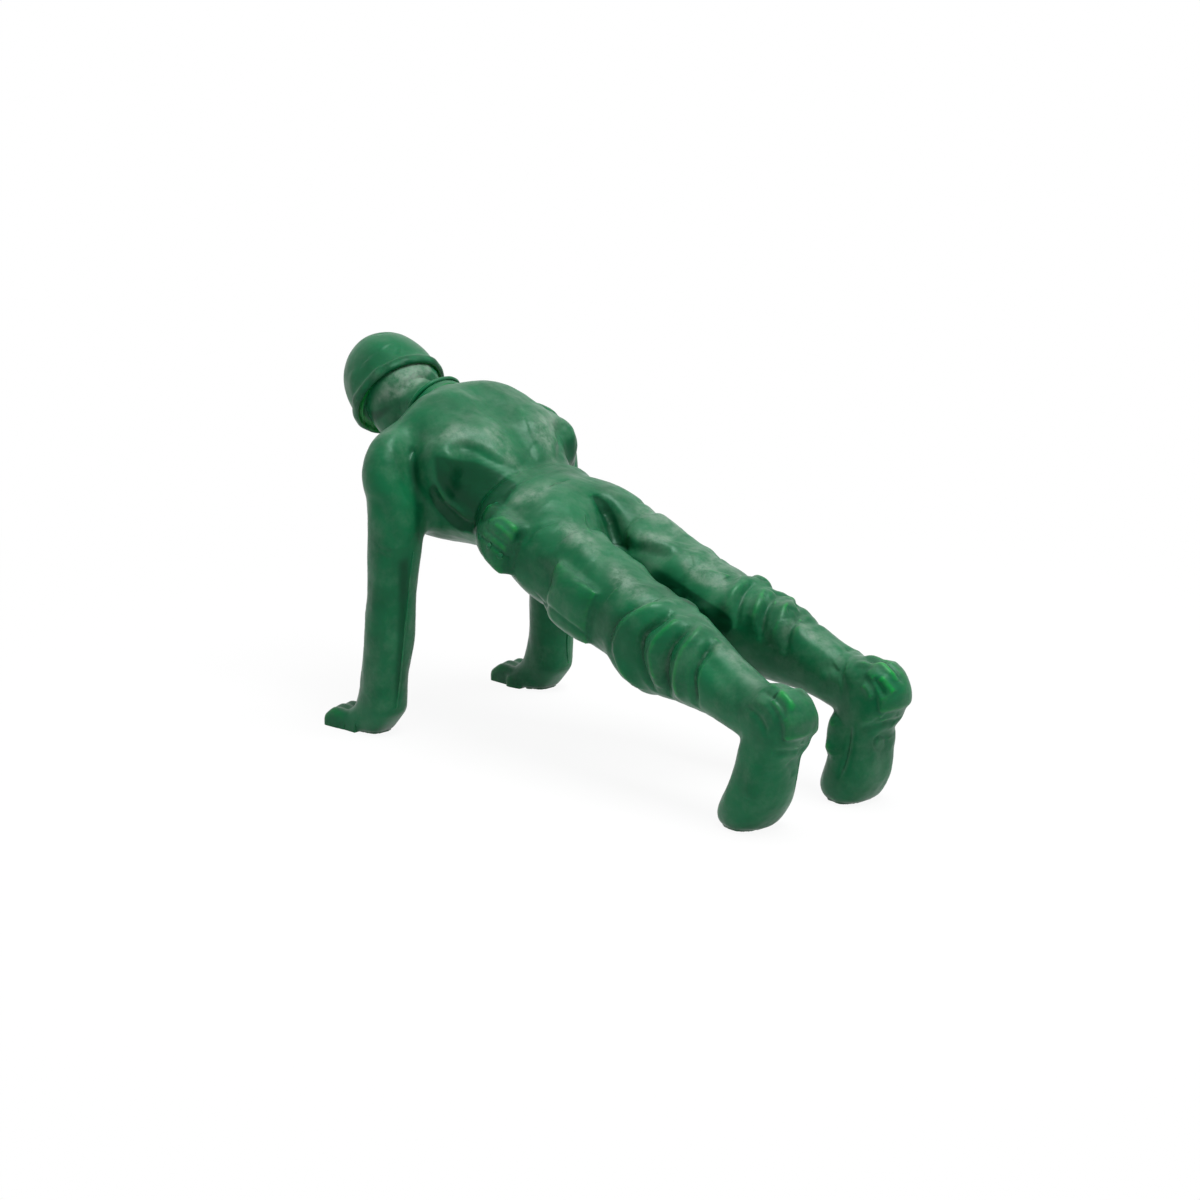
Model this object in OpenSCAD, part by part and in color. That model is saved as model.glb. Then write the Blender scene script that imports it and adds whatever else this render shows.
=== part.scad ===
// Toy soldier figure in a straight-arm plank, moulded in one green plastic.
// The figure faces +X, its left side is +Y, and its palms and toes rest on Z = 0.
// Its pieces meet on flat parting planes at the creases where the sculpture changes.

/* [Arms] */
// Half the distance between the planes where the arms leave the torso
shoulder_half = 8.4; // [7.6:0.1:10]
// Distance of each palm from the midplane
palm_half = 12.1; // [11:0.1:14]
// Floor to the wrist crease
wrist_rise = 2.8; // [2.2:0.1:3.6]
// Wrist crease to the elbow
forearm_len = 12.6; // [10:0.1:16]
// Elbow to the armpit
upper_arm_len = 10.4; // [8:0.1:13]
// How far the elbow bows back from the wrist
arm_lean = 1.6; // [0:0.1:3]
// Place of the armpit ahead of the heel of the palm
shoulder_x = -0.3; // [-2:0.1:2]
// Height of the rounded shoulder above the armpit
shoulder_d = 7.8; // [6:0.1:9]
// Front to back size of the shoulder
shoulder_w = 6.4; // [6:0.1:9]
// How far the shoulder sits ahead of the armpit
shoulder_fwd = 1.7; // [0:0.1:2]
// Swell of the muscle over the shoulder's outer corner
deltoid_t = 0.3; // [0.2:0.1:1.4]
// Width of the upper arm across the body
upper_arm_w = 5.6; // [4.6:0.1:6.6]
// Front to back size of the upper arm
upper_arm_d = 6.2; // [5:0.1:7]
// Width of the elbow
elbow_w = 5.2; // [4:0.1:6]
// Front to back size of the fullest part of the forearm
forearm_d = 5.8; // [4.6:0.1:6.4]
// Width of the wrist
wrist_w = 5; // [3.6:0.1:5.6]

/* [Hands] */
// Heel of the palm to the knuckles
palm_len = 5.6; // [4.4:0.1:7]
// Width over the knuckles
palm_w = 5.2; // [5:0.1:7.5]
// Thickness of the hand at the knuckles
palm_t = 2; // [1.4:0.1:2.6]
// Knuckles to the tip of the middle finger
finger_len = 3.6; // [3:0.1:6]
// Thickness of a finger
finger_t = 1.5; // [1.1:0.05:1.9]

/* [Torso] */
// Middle of the chest to the waist, along the body
torso_len = 9.6; // [8:0.1:12]
// Full width of the chest behind the arms
chest_w = 18.4; // [16.8:0.1:22]
// Depth of the chest from back to breast
chest_d = 14.4; // [12:0.1:17]
// Height of the middle of the chest above the armpit
chest_lift = 2.4; // [1.4:0.1:3.4]
// Width of the waist
waist_w = 14.8; // [12:0.1:17]
// Depth of the waist
waist_d = 9.6; // [8:0.1:12]
// Depth of the furrow down the spine
spine_furrow = 0.7; // [0:0.05:1.2]
// Pitch of the trunk above the slope of the legs
back_arch = 5; // [0:0.5:8]

/* [Head and helmet] */
// Width of the neck
neck_w = 5.8; // [4.6:0.1:7]
// Length of the neck from the collar to the back of the skull
neck_len = 3.6; // [2:0.1:4.5]
// Rise of the neck over that length
neck_rise = 0; // [-1:0.1:2]
// Height of the collar band
collar_h = 0.9; // [0.5:0.05:1.4]
// Thickness of the collar band
collar_t = 0.7; // [0.4:0.05:1]
// Upward tilt of the crown from level
head_tilt = 34; // [20:1:50]
// Turn of the head to the figure's right
head_turn = 9; // [0:1:20]
// Width of the head under the helmet
head_w = 7.4; // [6:0.1:8.4]
// Front to back size of the head
head_d = 8.4; // [7:0.1:9.4]
// Rim of the helmet to the chin
face_len = 5.4; // [4.4:0.1:6.4]
// Width of the helmet bowl
helmet_w = 10; // [8.6:0.1:11]
// Front to back size of the helmet bowl
helmet_d = 10.3; // [9:0.1:11.5]
// Rim to crown
helmet_h = 8.1; // [6.4:0.1:9]
// How far the rolled rim stands out from the bowl
rim_proud = 0.45; // [0.2:0.05:0.8]
// Height of the rolled rim
rim_h = 0.8; // [0.5:0.05:1.2]

/* [Hips and legs] */
// Height of the waistband along the body
band_len = 1.8; // [1:0.1:3]
// How far the waistband stands out
band_proud = 0.35; // [0.1:0.05:0.6]
// Waistband to the crotch, along the body
seat_len = 10.2; // [8:0.1:13]
// Width over the hips
hip_w = 18.4; // [16:0.1:21]
// Depth of the seat
seat_d = 11.6; // [10:0.1:14]
// Crotch to the top of the knee
thigh_len = 9; // [7:0.1:13]
// Length of the gathered cloth at the knee
knee_len = 10; // [7:0.1:12]
// Knee gathers to the ankle
shin_len = 10; // [9:0.1:15]
// Width of a thigh
thigh_w = 8.8; // [7.5:0.1:9.2]
// Depth of a thigh
thigh_d = 11; // [9:0.1:12.5]
// Width of the gathered knee
knee_w = 8.2; // [7:0.1:9.6]
// Depth of the gathered knee
knee_d = 9.2; // [8:0.1:11]
// Width of the calf below the gathers
calf_w = 7; // [6:0.1:8.4]
// Depth of the calf below the gathers
calf_d = 7.6; // [6.4:0.1:9]
// Width of the ankle
ankle_w = 5.4; // [4.4:0.1:6.6]
// Depth of the ankle
ankle_d = 6.2; // [5:0.1:7.5]
// Distance of the ankle from the midplane
ankle_half = 6.8; // [5.4:0.1:9]
// Lean of the legs to the figure's right, at the ankles
leg_sway = 1; // [0:0.1:2]
// Height of the folds at the knee
fold_h = 0.4; // [0.1:0.05:0.6]
// Number of folds at the knee
fold_n = 3; // [2:1:4]

/* [Boots] */
// Instep crease to the tip of the toe, down the foot
foot_len = 9.1; // [8:0.1:12]
// Lean of the sole from upright
foot_tilt = 11; // [4:1:24]
// Width of the ball of the foot
foot_w = 6.6; // [6:0.1:8.5]
// Instep to the bottom of the sole
foot_d = 5.3; // [4.6:0.1:7]
// Instep crease to the back of the heel
heel_reach = 8.2; // [8:0.1:11]
// How much further forward the left toe rests than the right one
toe_skew = 1.4; // [0:0.1:2]
// Thickness of the heel block below the sole
heel_t = 0.7; // [0.4:0.1:1.4]
// Turn round the instep from the ankle to the top of the heel block
heel_top_turn = 24; // [16:1:32]
// Turn round the instep from the ankle to the bottom edge of the heel block
heel_end_turn = 60; // [48:1:68]

/* [Pockets] */
// Crotch to the top of the thigh pocket
pocket_drop = 1.5; // [1:0.1:2.5]
// Length of the thigh pocket
pocket_len = 6; // [4:0.1:6.4]
// How far the thigh pocket stands out
pocket_t = 0.8; // [0.4:0.05:1.2]
// Length of the hip pouch
pouch_len = 5.8; // [4.6:0.1:7]
// How far the hip pouch stands out
pouch_t = 1.3; // [1.2:0.1:2.6]

/* [Hidden] */
skin = "#1a6340";

// Clearance between the legs at the crotch
leg_gap = 0.3;

// Number of points round a limb, round the trunk and round the head
limb_n = 24;
trunk_n = 36;
head_n = 32;

// Squareness of sections: 2 is an ellipse, and more is squarer
limb_square = 2.1;
ankle_square = 2.2;
foot_square = 2.6;
waist_square = 2.3;

// Signed power, the building block of a rounded section
function spow(v, e) = sign(v) * pow(abs(v), e);

// Ring of n points round centre c, in the plane of unit vectors u and v.
// w is the half width along u, hi and lo are the reaches along +v and -v, and p rounds the corners.
function ring(c, u, v, w, hi, lo, p, n) = [
    for (i = [0:n - 1])
        let (t = 360 * i / n, a = spow(cos(t), 2 / p), b = spow(sin(t), 2 / p))
            c + w * a * u + (b > 0 ? hi : lo) * b * v
];

// Smooth curve through rows of numbers: the row at place t, where 0 is the first row
function cr(a, b, c, d, t) =
    (2 * b + (c - a) * t + (2 * a - 5 * b + 4 * c - d) * t * t + (3 * b - a - 3 * c + d) * t * t * t) / 2;
function row_at(rows, t) =
    let (last = len(rows) - 1, i = min(floor(t), last - 1))
        cr(rows[max(i - 1, 0)], rows[i], rows[i + 1], rows[min(i + 2, last)], t - i);

// Row number of the place s in a table whose first column holds the places of its rows
function place_t(rows, s, i = 0) =
    i == len(rows) - 2 || s <= rows[i + 1][0]
        ? i + (s - rows[i][0]) / (rows[i + 1][0] - rows[i][0])
        : place_t(rows, s, i + 1);

function sum(v, i = 0) = i == len(v) - 1 ? v[i] : v[i] + sum(v, i + 1);
function middle(r) = sum(r) / len(r);

// A face, turned over if its solid would otherwise be inside out
function turned(face, flip) = flip ? [for (i = [len(face) - 1:-1:0]) face[i]] : face;

// Closed solid through a list of rings that all have the same number of points
module loft(rings) {
    n = len(rings[0]);
    last = len(rings) - 1;
    c = middle(rings[0]);
    area = sum([for (i = [0:n - 1]) cross(rings[0][i] - c, rings[0][(i + 1) % n] - c)]);
    over = area * (middle(rings[1]) - c) < 0;
    faces = concat(
        [[for (i = [0:n - 1]) i]],
        [for (k = [0:last - 1], i = [0:n - 1], h = [0, 1])
            let (j = (i + 1) % n, a = k * n, b = a + n)
                h == 0 ? [a + j, a + i, b + i] : [a + j, b + i, b + j]],
        [[for (i = [n - 1:-1:0]) last * n + i]]);
    polyhedron(points = [for (r = rings) each r], faces = [for (f = faces) turned(f, over)]);
}

// Rings of the right side, mirrored from those of the left
function mirrored(rings) = [for (r = rings) [for (q = r) [q[0], -q[1], q[2]]]];

// A pad on a limb's skin, over rows k0 to k1 and columns i0 to i1, h thick,
// with its edge drawn in to a share of that thickness
function lifted(rings, k, i, h) =
    let (n = len(rings[0]), q = rings[k][(i + n) % n], out = q - middle(rings[k])) q + h * out / norm(out);
function pad_points(rings, k0, k1, i0, i1, h, edge_share) = concat(
    [for (k = [k0:k1], i = [i0:i1]) lifted(rings, k, i, 0)],
    [for (k = [k0:k1], i = [i0:i1])
        lifted(rings, k, i, k == k0 || k == k1 || i == i0 || i == i1 ? h * edge_share : h)]);
module pad(rings, k0, k1, i0, i1, h, edge_share) {
    m = i1 - i0 + 1;
    rows = k1 - k0 + 1;
    top = m * rows;
    points = pad_points(rings, k0, k1, i0, i1, h, edge_share);
    edge = concat([for (i = [0:m - 1]) i], [for (k = [1:rows - 1]) k * m + m - 1],
        [for (i = [m - 2:-1:0]) (rows - 1) * m + i], [for (k = [rows - 2:-1:1]) k * m]);
    over = cross(points[1] - points[0], points[m] - points[0]) * (points[0] - middle(rings[k0])) < 0;
    faces = concat(
        [for (k = [0:rows - 2], i = [0:m - 2], s = [0, 1])
            let (a = k * m + i, b = a + m) s == 0 ? [b, a, a + 1] : [b, a + 1, b + 1]],
        [for (k = [0:rows - 2], i = [0:m - 2], s = [0, 1])
            let (a = top + k * m + i, b = a + m) s == 0 ? [a + 1, a, b] : [b + 1, a + 1, b]],
        [for (j = [0:len(edge) - 1], s = [0, 1])
            let (a = edge[j], b = edge[(j + 1) % len(edge)])
                s == 0 ? [b, a, top + a] : [b, top + a, top + b]]);
    polyhedron(points = points, faces = [for (f = faces) turned(f, over)]);
}

// Stance: the arms set the height of the chest and the boots that of the ankle,
// and the slope of the body follows from both
elbow_z = wrist_rise + forearm_len;
armpit_z = elbow_z + upper_arm_len;
chest_z = armpit_z + chest_lift;
armpit_half = shoulder_half + upper_arm_w / 2;
foot_down = [sin(foot_tilt), 0, -cos(foot_tilt)];
foot_back = [-cos(foot_tilt), 0, -sin(foot_tilt)];
crease_z = foot_len * cos(foot_tilt);
ankle_z = crease_z + ankle_d / 2;
leg_len = band_len + seat_len + thigh_len + knee_len + shin_len;
reach = torso_len * cos(back_arch) + leg_len;
lift = torso_len * sin(back_arch);
slope = asin((chest_z - ankle_z) / norm([reach, lift])) - atan2(lift, reach);
trunk_slope = slope + back_arch;

chest = [shoulder_x, 0, chest_z];
function along(a) = [-cos(a), 0, -sin(a)];
function above(a) = [-sin(a), 0, cos(a)];
waist = chest + torso_len * along(trunk_slope);
crotch = waist + (band_len + seat_len) * along(slope);
knee = crotch + thigh_len * along(slope);
calf = knee + knee_len * along(slope);
ankle = calf + shin_len * along(slope);
crease = ankle - ankle_d / 2 * above(slope);

// The legs lean to the figure's right by leg_sway at the ankles
function sway_point(q) = q - [0, leg_sway * max(0, min(1, (waist[0] - q[0]) / (waist[0] - ankle[0]))), 0];
function swayed(rings) = [for (r = rings) [for (q = r) sway_point(q)]];

// Trunk, from the neck to the waist. Each row holds: place along the trunk as a share of its length,
// rise as a share of the chest's depth, tilt of the ring in degrees, and the ring's half width,
// upper reach and lower reach as shares of the chest's half width and half depth, and its squareness
torso_shares = [
    [-0.72, 0.15, 4, 0.44, 0.50, 0.50, 2.2],
    [-0.50, 0.11, 3, 0.94, 0.78, 0.86, 2.3],
    [-0.22, 0.05, 1, 1.08, 0.93, 1.10, 2.5],
    [0.05, 0.00, 0, 1.10, 1.00, 1.17, 2.6],
    [0.35, 0.00, 0, 1.02, 0.97, 1.07, 2.5],
    [0.68, 0.00, 0, 0.88, 0.83, 0.87, 2.4]
];
torso_steps = 3;
function torso_row(s) = [
    s[0] * torso_len, s[1] * chest_d, s[2], s[3] * chest_w / 2, s[4] * chest_d / 2, s[5] * chest_d / 2, s[6]
];
waist_row = [torso_len, 0, slope - trunk_slope, waist_w / 2, waist_d / 2, waist_d / 2, waist_square];
torso_rows = concat([for (s = torso_shares) torso_row(s)], [waist_row]);
furrow_share = 1.6;
furrow_w = spine_furrow * furrow_share;
function furrowed(q, c, v, depth) =
    let (high = (q - c) * v) high > 0 ? q - v * depth * exp(-pow(q[1] / furrow_w, 2)) : q;
function clamp_y(q) = [q[0], max(-shoulder_half, min(shoulder_half, q[1])), q[2]];
function torso_ring(t) =
    let (
        r = row_at(torso_rows, t),
        c = chest + r[0] * along(trunk_slope) + r[1] * above(trunk_slope),
        v = above(trunk_slope + r[2]),
        last = len(torso_rows) - 1,
        depth = spine_furrow * sin(180 * t / last)
    )
        [for (q = ring(c, [0, 1, 0], v, r[3], r[4], r[5], r[6], trunk_n))
            clamp_y(furrowed(q, c, v, depth))];
torso_last = len(torso_rows) - 1;
torso_rings = [for (k = [0:torso_last * torso_steps]) torso_ring(k / torso_steps)];

module torso() {
    color(skin) loft(torso_rings);
}

// Collar and neck: both stand on the flat front end of the trunk
neck_row = torso_row(torso_shares[0]);
neck_base = chest + neck_row[0] * along(trunk_slope) + neck_row[1] * above(trunk_slope);
neck_up = above(trunk_slope + neck_row[2]);
neck_fwd = -along(trunk_slope + neck_row[2]);
neck_end_x = neck_base[0] + neck_len;
neck_end = [neck_end_x, 0, neck_base[2] + neck_rise];
neck_taper_share = 0.96;
collar_lip_share = 0.6;
function neck_base_ring(h) = ring(neck_base + h * neck_fwd, [0, 1, 0], neck_up,
    neck_w / 2, neck_w / 2, neck_w / 2, limb_square, head_n);
neck_end_ring = ring(neck_end, [0, 1, 0], [0, 0, 1],
    neck_w / 2 * neck_taper_share, neck_w / 2, neck_w / 2, limb_square, head_n);

module neck() {
    color(skin) loft([neck_base_ring(0), neck_base_ring(collar_h), neck_end_ring]);
}

module collar() {
    inner = [neck_base_ring(0), neck_base_ring(collar_h)];
    outer = [for (h = [0, collar_h])
        let (r = neck_w / 2 + collar_t * (h > 0 ? collar_lip_share : 1))
            ring(neck_base + h * neck_fwd, [0, 1, 0], neck_up, r, r, r, limb_square, head_n)];
    n = head_n;
    color(skin) polyhedron(
        points = concat(inner[0], inner[1], outer[1], outer[0]),
        faces = [for (k = [0:3], i = [0:n - 1], h = [0, 1])
            let (j = (i + 1) % n, a = k * n, b = (k + 1) % 4 * n)
                h == 0 ? [a + i, a + j, b + i] : [a + j, b + j, b + i]]);
}

// Head: rings square to the line from chin to crown, pressed flat where the neck joins.
// Each row holds: place below the rim as a share of the face's length, half width as a share of the head's
// half width, reach to the front and to the back as shares of its half depth, and squareness
function turn_right(v) = [v[0] * cos(head_turn), -v[0] * sin(head_turn), v[2]];
head_side = [sin(head_turn), cos(head_turn), 0];
head_axis = turn_right([cos(head_tilt), 0, sin(head_tilt)]);
head_front = turn_right([sin(head_tilt), 0, -cos(head_tilt)]);
rim_back = neck_end + neck_w / 2 * [0, 0, 1];
rim_lift_share = 0.36;
rim_mid = rim_back + head_d / 2 * head_front + face_len * rim_lift_share * head_axis;
head_shares = [
    [0.00, 1.00, 1.00, 1.00, 2.2],
    [0.20, 1.00, 1.00, 1.05, 2.3],
    [0.42, 0.96, 0.97, 1.10, 2.4],
    [0.62, 0.88, 0.94, 1.00, 2.4],
    [0.80, 0.74, 0.90, 0.60, 2.3],
    [0.94, 0.50, 0.84, 0.00, 2.2],
    [1.00, 0.24, 0.72, -0.30, 2.1]
];
head_steps = 3;
// Bumps of the face: place below the rim, half height and half width as shares of the face's length,
// place from the midline, and how far it stands out
face_shares = [
    [0.12, 0.07, 0.45, 0.00, 0.030],
    [0.26, 0.07, 0.10, 0.26, -0.075],
    [0.26, 0.07, 0.10, -0.26, -0.075],
    [0.42, 0.13, 0.08, 0.00, 0.150],
    [0.50, 0.06, 0.14, 0.00, 0.070],
    [0.68, 0.04, 0.16, 0.00, 0.045],
    [0.735, 0.015, 0.18, 0.00, -0.035],
    [0.78, 0.04, 0.14, 0.00, 0.040],
    [0.93, 0.07, 0.16, 0.00, 0.050],
    [0.34, 0.14, 0.06, 0.66, 0.060],
    [0.34, 0.14, 0.06, -0.66, 0.060]
];
function bump(down, side) = face_len * sum([for (b = face_shares)
    b[4] * exp(-pow((down - b[0]) / b[1], 2) - pow((side - b[3]) / b[2], 2))]);
function head_ring(t) =
    let (
        s = row_at(head_shares, t),
        c = rim_mid - s[0] * face_len * head_axis,
        w = s[1] * head_w / 2,
        front = s[2] * head_d / 2,
        back = s[3] * head_d / 2
    ) [for (q = ring(c + (front - back) / 2 * head_front, head_side, head_front, w,
        (front + back) / 2, (front + back) / 2, s[4], head_n))
        let (
            ahead = (q - c) * head_front,
            lift = ahead > 0 ? bump(s[0], (q - c) * head_side / face_len) : 0,
            p = q + lift * head_front
        ) [max(p[0], neck_end_x), p[1], p[2]]];
head_last = len(head_shares) - 1;
head_rings = [for (k = [head_last * head_steps:-1:0]) head_ring(k / head_steps)];

module head() {
    color(skin) loft(head_rings);
}

// Helmet: a bowl with a rolled rim, hollowed a little under the lip and seated on the crown of the head
bowl_steps = 8;
bowl_round_share = 0.62;
lip_hollow_share = 0.5;
function bowl_ring(h, w, d) = ring(rim_mid + h * head_axis, head_side, head_front, w, d, d, 2, head_n);
function bowl_h(k) = rim_h + (helmet_h - rim_h) * sin(90 * k / bowl_steps);
function bowl_share(k) = k == bowl_steps ? 0.02 : pow(1 - pow(sin(90 * k / bowl_steps), 2.4), 0.5);
rim_w = helmet_w / 2 + rim_proud;
rim_d = helmet_d / 2 + rim_proud;
helmet_rings = concat(
    [
        bowl_ring(0, head_w / 2, head_d / 2),
        bowl_ring(0, helmet_w / 2 - rim_proud, helmet_d / 2 - rim_proud),
        bowl_ring(-rim_h * lip_hollow_share, rim_w - rim_proud / 2, rim_d - rim_proud / 2),
        bowl_ring(-rim_h * lip_hollow_share / 2, rim_w, rim_d),
        bowl_ring(rim_h * lip_hollow_share, rim_w, rim_d)
    ],
    [for (k = [0:bowl_steps])
        let (share = bowl_share(k)) bowl_ring(bowl_h(k), share * helmet_w / 2, share * helmet_d / 2)]);

module helmet() {
    color(skin) loft(helmet_rings);
}

// Arm: level rings up to the armpit, then rings that fan round the armpit to the shoulder plane.
// Each row holds: place as a share of its half of the arm, shares of the shift from wrist to armpit
// forward and of the backward bow, half width, front reach and back reach as shares of the size there,
// and share of the shift from palm to armpit in the distance from the midplane
forearm_shares = [
    [0.00, 0.0, 0.0, 0.48, 0.75, 0.50, 0.00],
    [0.30, 0.0, 0.2, 0.48, 0.55, 0.49, 0.00],
    [0.64, 0.0, 0.5, 0.46, 0.48, 0.46, 0.25],
    [1.00, 0.0, 0.6, 0.50, 0.50, 0.50, 0.50]
];
upper_arm_shares = [
    [0.00, 0.0, 0.6, 0.50, 0.50, 0.50, 0.50],
    [0.34, 0.0, 0.7, 0.48, 0.46, 0.49, 0.67],
    [0.70, 0.5, 0.5, 0.50, 0.50, 0.52, 0.83],
    [1.00, 1.0, 0.0, 0.50, 0.52, 0.50, 1.00]
];
forearm_sizes = [[wrist_w, wrist_w], [wrist_w, wrist_w], [forearm_d, forearm_d], [elbow_w, elbow_w]];
upper_arm_sizes = [[elbow_w, elbow_w], [upper_arm_w, upper_arm_d], [upper_arm_w, upper_arm_d],
    [upper_arm_w, upper_arm_d]];
wrist_x_share = 0.18;
wrist_x = wrist_w * wrist_x_share;
shoulder_front_share = 0.54;
shoulder_back_share = 0.3;
fan_steps = 6;
arm_steps = 3;
function arm_row(s, size, low, length) = [
    low + length * s[0],
    wrist_x + (shoulder_x - wrist_x) * s[1] - arm_lean * s[2],
    size[0] * s[3],
    size[1] * s[4],
    size[1] * s[5],
    palm_half + (armpit_half - palm_half) * s[6]
];
forearm_rows = [for (k = [0:3]) arm_row(forearm_shares[k], forearm_sizes[k], wrist_rise, forearm_len)];
upper_rows = [for (k = [0:3]) arm_row(upper_arm_shares[k], upper_arm_sizes[k], elbow_z, upper_arm_len)];
function level_ring(r) =
    ring([r[1], r[5], r[0]], [0, 1, 0], [1, 0, 0], r[2], r[3], r[4], limb_square, limb_n);
function arm_rings(rows) = [for (k = [0:3 * arm_steps]) level_ring(row_at(rows, k / arm_steps))];
function fan_ring(k) =
    let (
        a = 90 * k / fan_steps,
        share = k / fan_steps,
        out = [0, cos(a), sin(a)],
        reach = upper_arm_w + (shoulder_d - upper_arm_w) * share + deltoid_t * sin(2 * a),
        front = upper_rows[3][3] + (shoulder_w * shoulder_front_share - upper_rows[3][3]) * share,
        back = upper_rows[3][4] + (shoulder_w * shoulder_back_share - upper_rows[3][4]) * share,
        c = [shoulder_x + shoulder_fwd * share, shoulder_half, armpit_z] + reach / 2 * out
    ) ring(c, out, [1, 0, 0], reach / 2, front, back, limb_square, limb_n);
upper_arm_rings = concat(arm_rings(upper_rows), [for (k = [1:fan_steps]) fan_ring(k)]);
forearm_rings = arm_rings(forearm_rows);

module left_upper_arm() {
    color(skin) loft(upper_arm_rings);
}
module right_upper_arm() {
    color(skin) loft(mirrored(upper_arm_rings));
}
module left_forearm() {
    color(skin) loft(forearm_rings);
}
module right_forearm() {
    color(skin) loft(mirrored(forearm_rings));
}

// Hand: a hull from the wrist to the palm, four fingers and a thumb, cut flat on the floor
finger_length_shares = [0.82, 1, 0.94, 0.74];
finger_turns = [-4, 0, 4, 9];
finger_root_share = 0.6;
finger_bend_share = 0.5;
finger_arch_share = 0.16;
finger_tip_share = 0.92;
thumb_turn = -14;
thumb_root_share = 0.42;
thumb_length_share = 0.9;
palm_heel_share = 0.16;
palm_heel_in_share = 0.8;
palm_sink_share = 0.4;
wrist_slice_share = 0.025;
ball_n = 10;
module ball(d) {
    sphere(d = d, $fn = ball_n);
}
module finger(root, turn, length) {
    dir = [cos(turn), sin(turn), 0];
    mid = root + length * finger_bend_share * dir + [0, 0, finger_t * finger_arch_share];
    tip_d = finger_t * finger_tip_share;
    tip = root + (length - finger_t / 2) * dir - [0, 0, root[2] - tip_d / 2];
    hull() {
        translate(root) ball(finger_t);
        translate(mid) ball(finger_t);
    }
    hull() {
        translate(mid) ball(finger_t);
        translate(tip) ball(tip_d);
    }
}
module hand() {
    inner = palm_half - palm_w / 2;
    pitch = (palm_w - finger_t) / 3;
    root_back = finger_t * finger_root_share;
    palm_heel_half = palm_w * palm_heel_share;
    palm_z = palm_t * palm_sink_share;
    wrist_slice = wrist_rise * wrist_slice_share;
    intersection() {
        union() {
            hull() {
                translate([0, 0, wrist_rise - wrist_slice]) linear_extrude(wrist_slice)
                    polygon([for (q = forearm_rings[0]) [q[0], q[1]]]);
                for (side = [-1, 1]) {
                    translate([palm_t * palm_heel_in_share, palm_half + side * palm_heel_half, palm_z])
                        ball(palm_t);
                    translate([palm_len - palm_t / 2, palm_half + side * (palm_w - palm_t) / 2, palm_z])
                        ball(palm_t);
                }
            }
            for (k = [0:3])
                finger([palm_len - root_back, inner + finger_t / 2 + k * pitch, palm_t - finger_t / 2],
                    finger_turns[k], root_back + finger_len * finger_length_shares[k]);
            finger([palm_len * thumb_root_share, inner + finger_t / 2, finger_t / 2],
                thumb_turn, finger_len * thumb_length_share);
        }
        translate([-palm_len, 0, 0]) cube([palm_len * 2 + finger_len * 2, palm_half * 2, wrist_rise]);
    }
}
module left_hand() {
    color(skin) hand();
}
module right_hand() {
    color(skin) mirror([0, 1, 0]) hand();
}

// Hips: the waistband, then the seat, whose rings split into two lobes towards the crotch.
// Each seat row holds: place as a share of the seat's length, half width and upper and lower reach
// as shares of the size there, squareness, and depth of the cleft as a share of the reach
leg_half = thigh_w / 2 + leg_gap / 2;
band_shares = [1, 1.6, 1];
seat_shares = [
    [0.00, 0.50, 0.50, 0.50, 2.3, 0.00],
    [0.35, 0.48, 0.49, 0.41, 2.4, 0.04],
    [0.70, 0.50, 0.48, 0.49, 2.5, 0.20],
    [1.00, 0.50, 0.43, 0.52, 2.5, 0.60]
];
seat_sizes = [[waist_w + band_proud, waist_d + band_proud], [hip_w, seat_d], [hip_w, seat_d],
    [2 * leg_half + thigh_w, thigh_d]];
cleft_share = 0.26;
function hip_ring(s, w, hi, lo, p, cleft) =
    let (c = waist + s * along(slope), v = above(slope))
        [for (q = ring(c, [0, 1, 0], v, w, hi, lo, p, trunk_n))
            q - v * ((q - c) * v) * cleft * exp(-pow(q[1] / (thigh_w * cleft_share), 2))];
band_rings = [for (k = [0:2])
    let (out = band_proud * band_shares[k])
        hip_ring(band_len * k / 2, waist_w / 2 + out, waist_d / 2 + out, waist_d / 2 + out, waist_square, 0)];
seat_rows = [for (k = [0:3])
    let (s = seat_shares[k], size = seat_sizes[k])
        [seat_len * s[0], size[0] * s[1], size[1] * s[2], size[1] * s[3], s[4], s[5]]];
pouch_steps = 5;
below_steps = 4;
seat_places = concat([for (k = [0:pouch_steps]) pouch_len * k / pouch_steps],
    [for (k = [1:below_steps]) pouch_len + (seat_len - pouch_len) * k / below_steps]);
seat_rings = [for (s = seat_places)
    let (r = row_at(seat_rows, place_t(seat_rows, s))) hip_ring(band_len + s, r[1], r[2], r[3], r[4], r[5])];

module waistband() {
    color(skin) loft(swayed(band_rings));
}
module trouser_seat() {
    color(skin) loft(swayed(seat_rings));
}
pouch_edge_share = 0.6;
module hip_pouch() {
    color(skin) pad(swayed(seat_rings), 0, pouch_steps, -2, 3, pouch_t, pouch_edge_share);
}

// Leg, from the crotch to the ankle: the places of its rings along it, their widths and depths,
// and for each its spread towards the ankle's distance from the midplane, its upper and lower reach
// as shares of the depth, and its squareness
leg_places = [0, thigh_len / 2, thigh_len, thigh_len + knee_len / 2, thigh_len + knee_len,
    thigh_len + knee_len + shin_len / 2, thigh_len + knee_len + shin_len];
leg_widths = [thigh_w, thigh_w, knee_w, knee_w, calf_w, (calf_w + ankle_w) / 2, ankle_w];
leg_depths = [thigh_d, thigh_d, knee_d, knee_d, calf_d, (calf_d + ankle_d) / 2, ankle_d];
leg_shares = [
    [0.00, 0.43, 0.52, 2.2],
    [0.08, 0.38, 0.53, 2.2],
    [0.22, 0.40, 0.58, 2.2],
    [0.42, 0.39, 0.64, 2.3],
    [0.64, 0.53, 0.62, 2.3],
    [0.86, 0.46, 0.50, 2.2],
    [1.00, 0.46, 0.50, 2.2]
];
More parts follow.
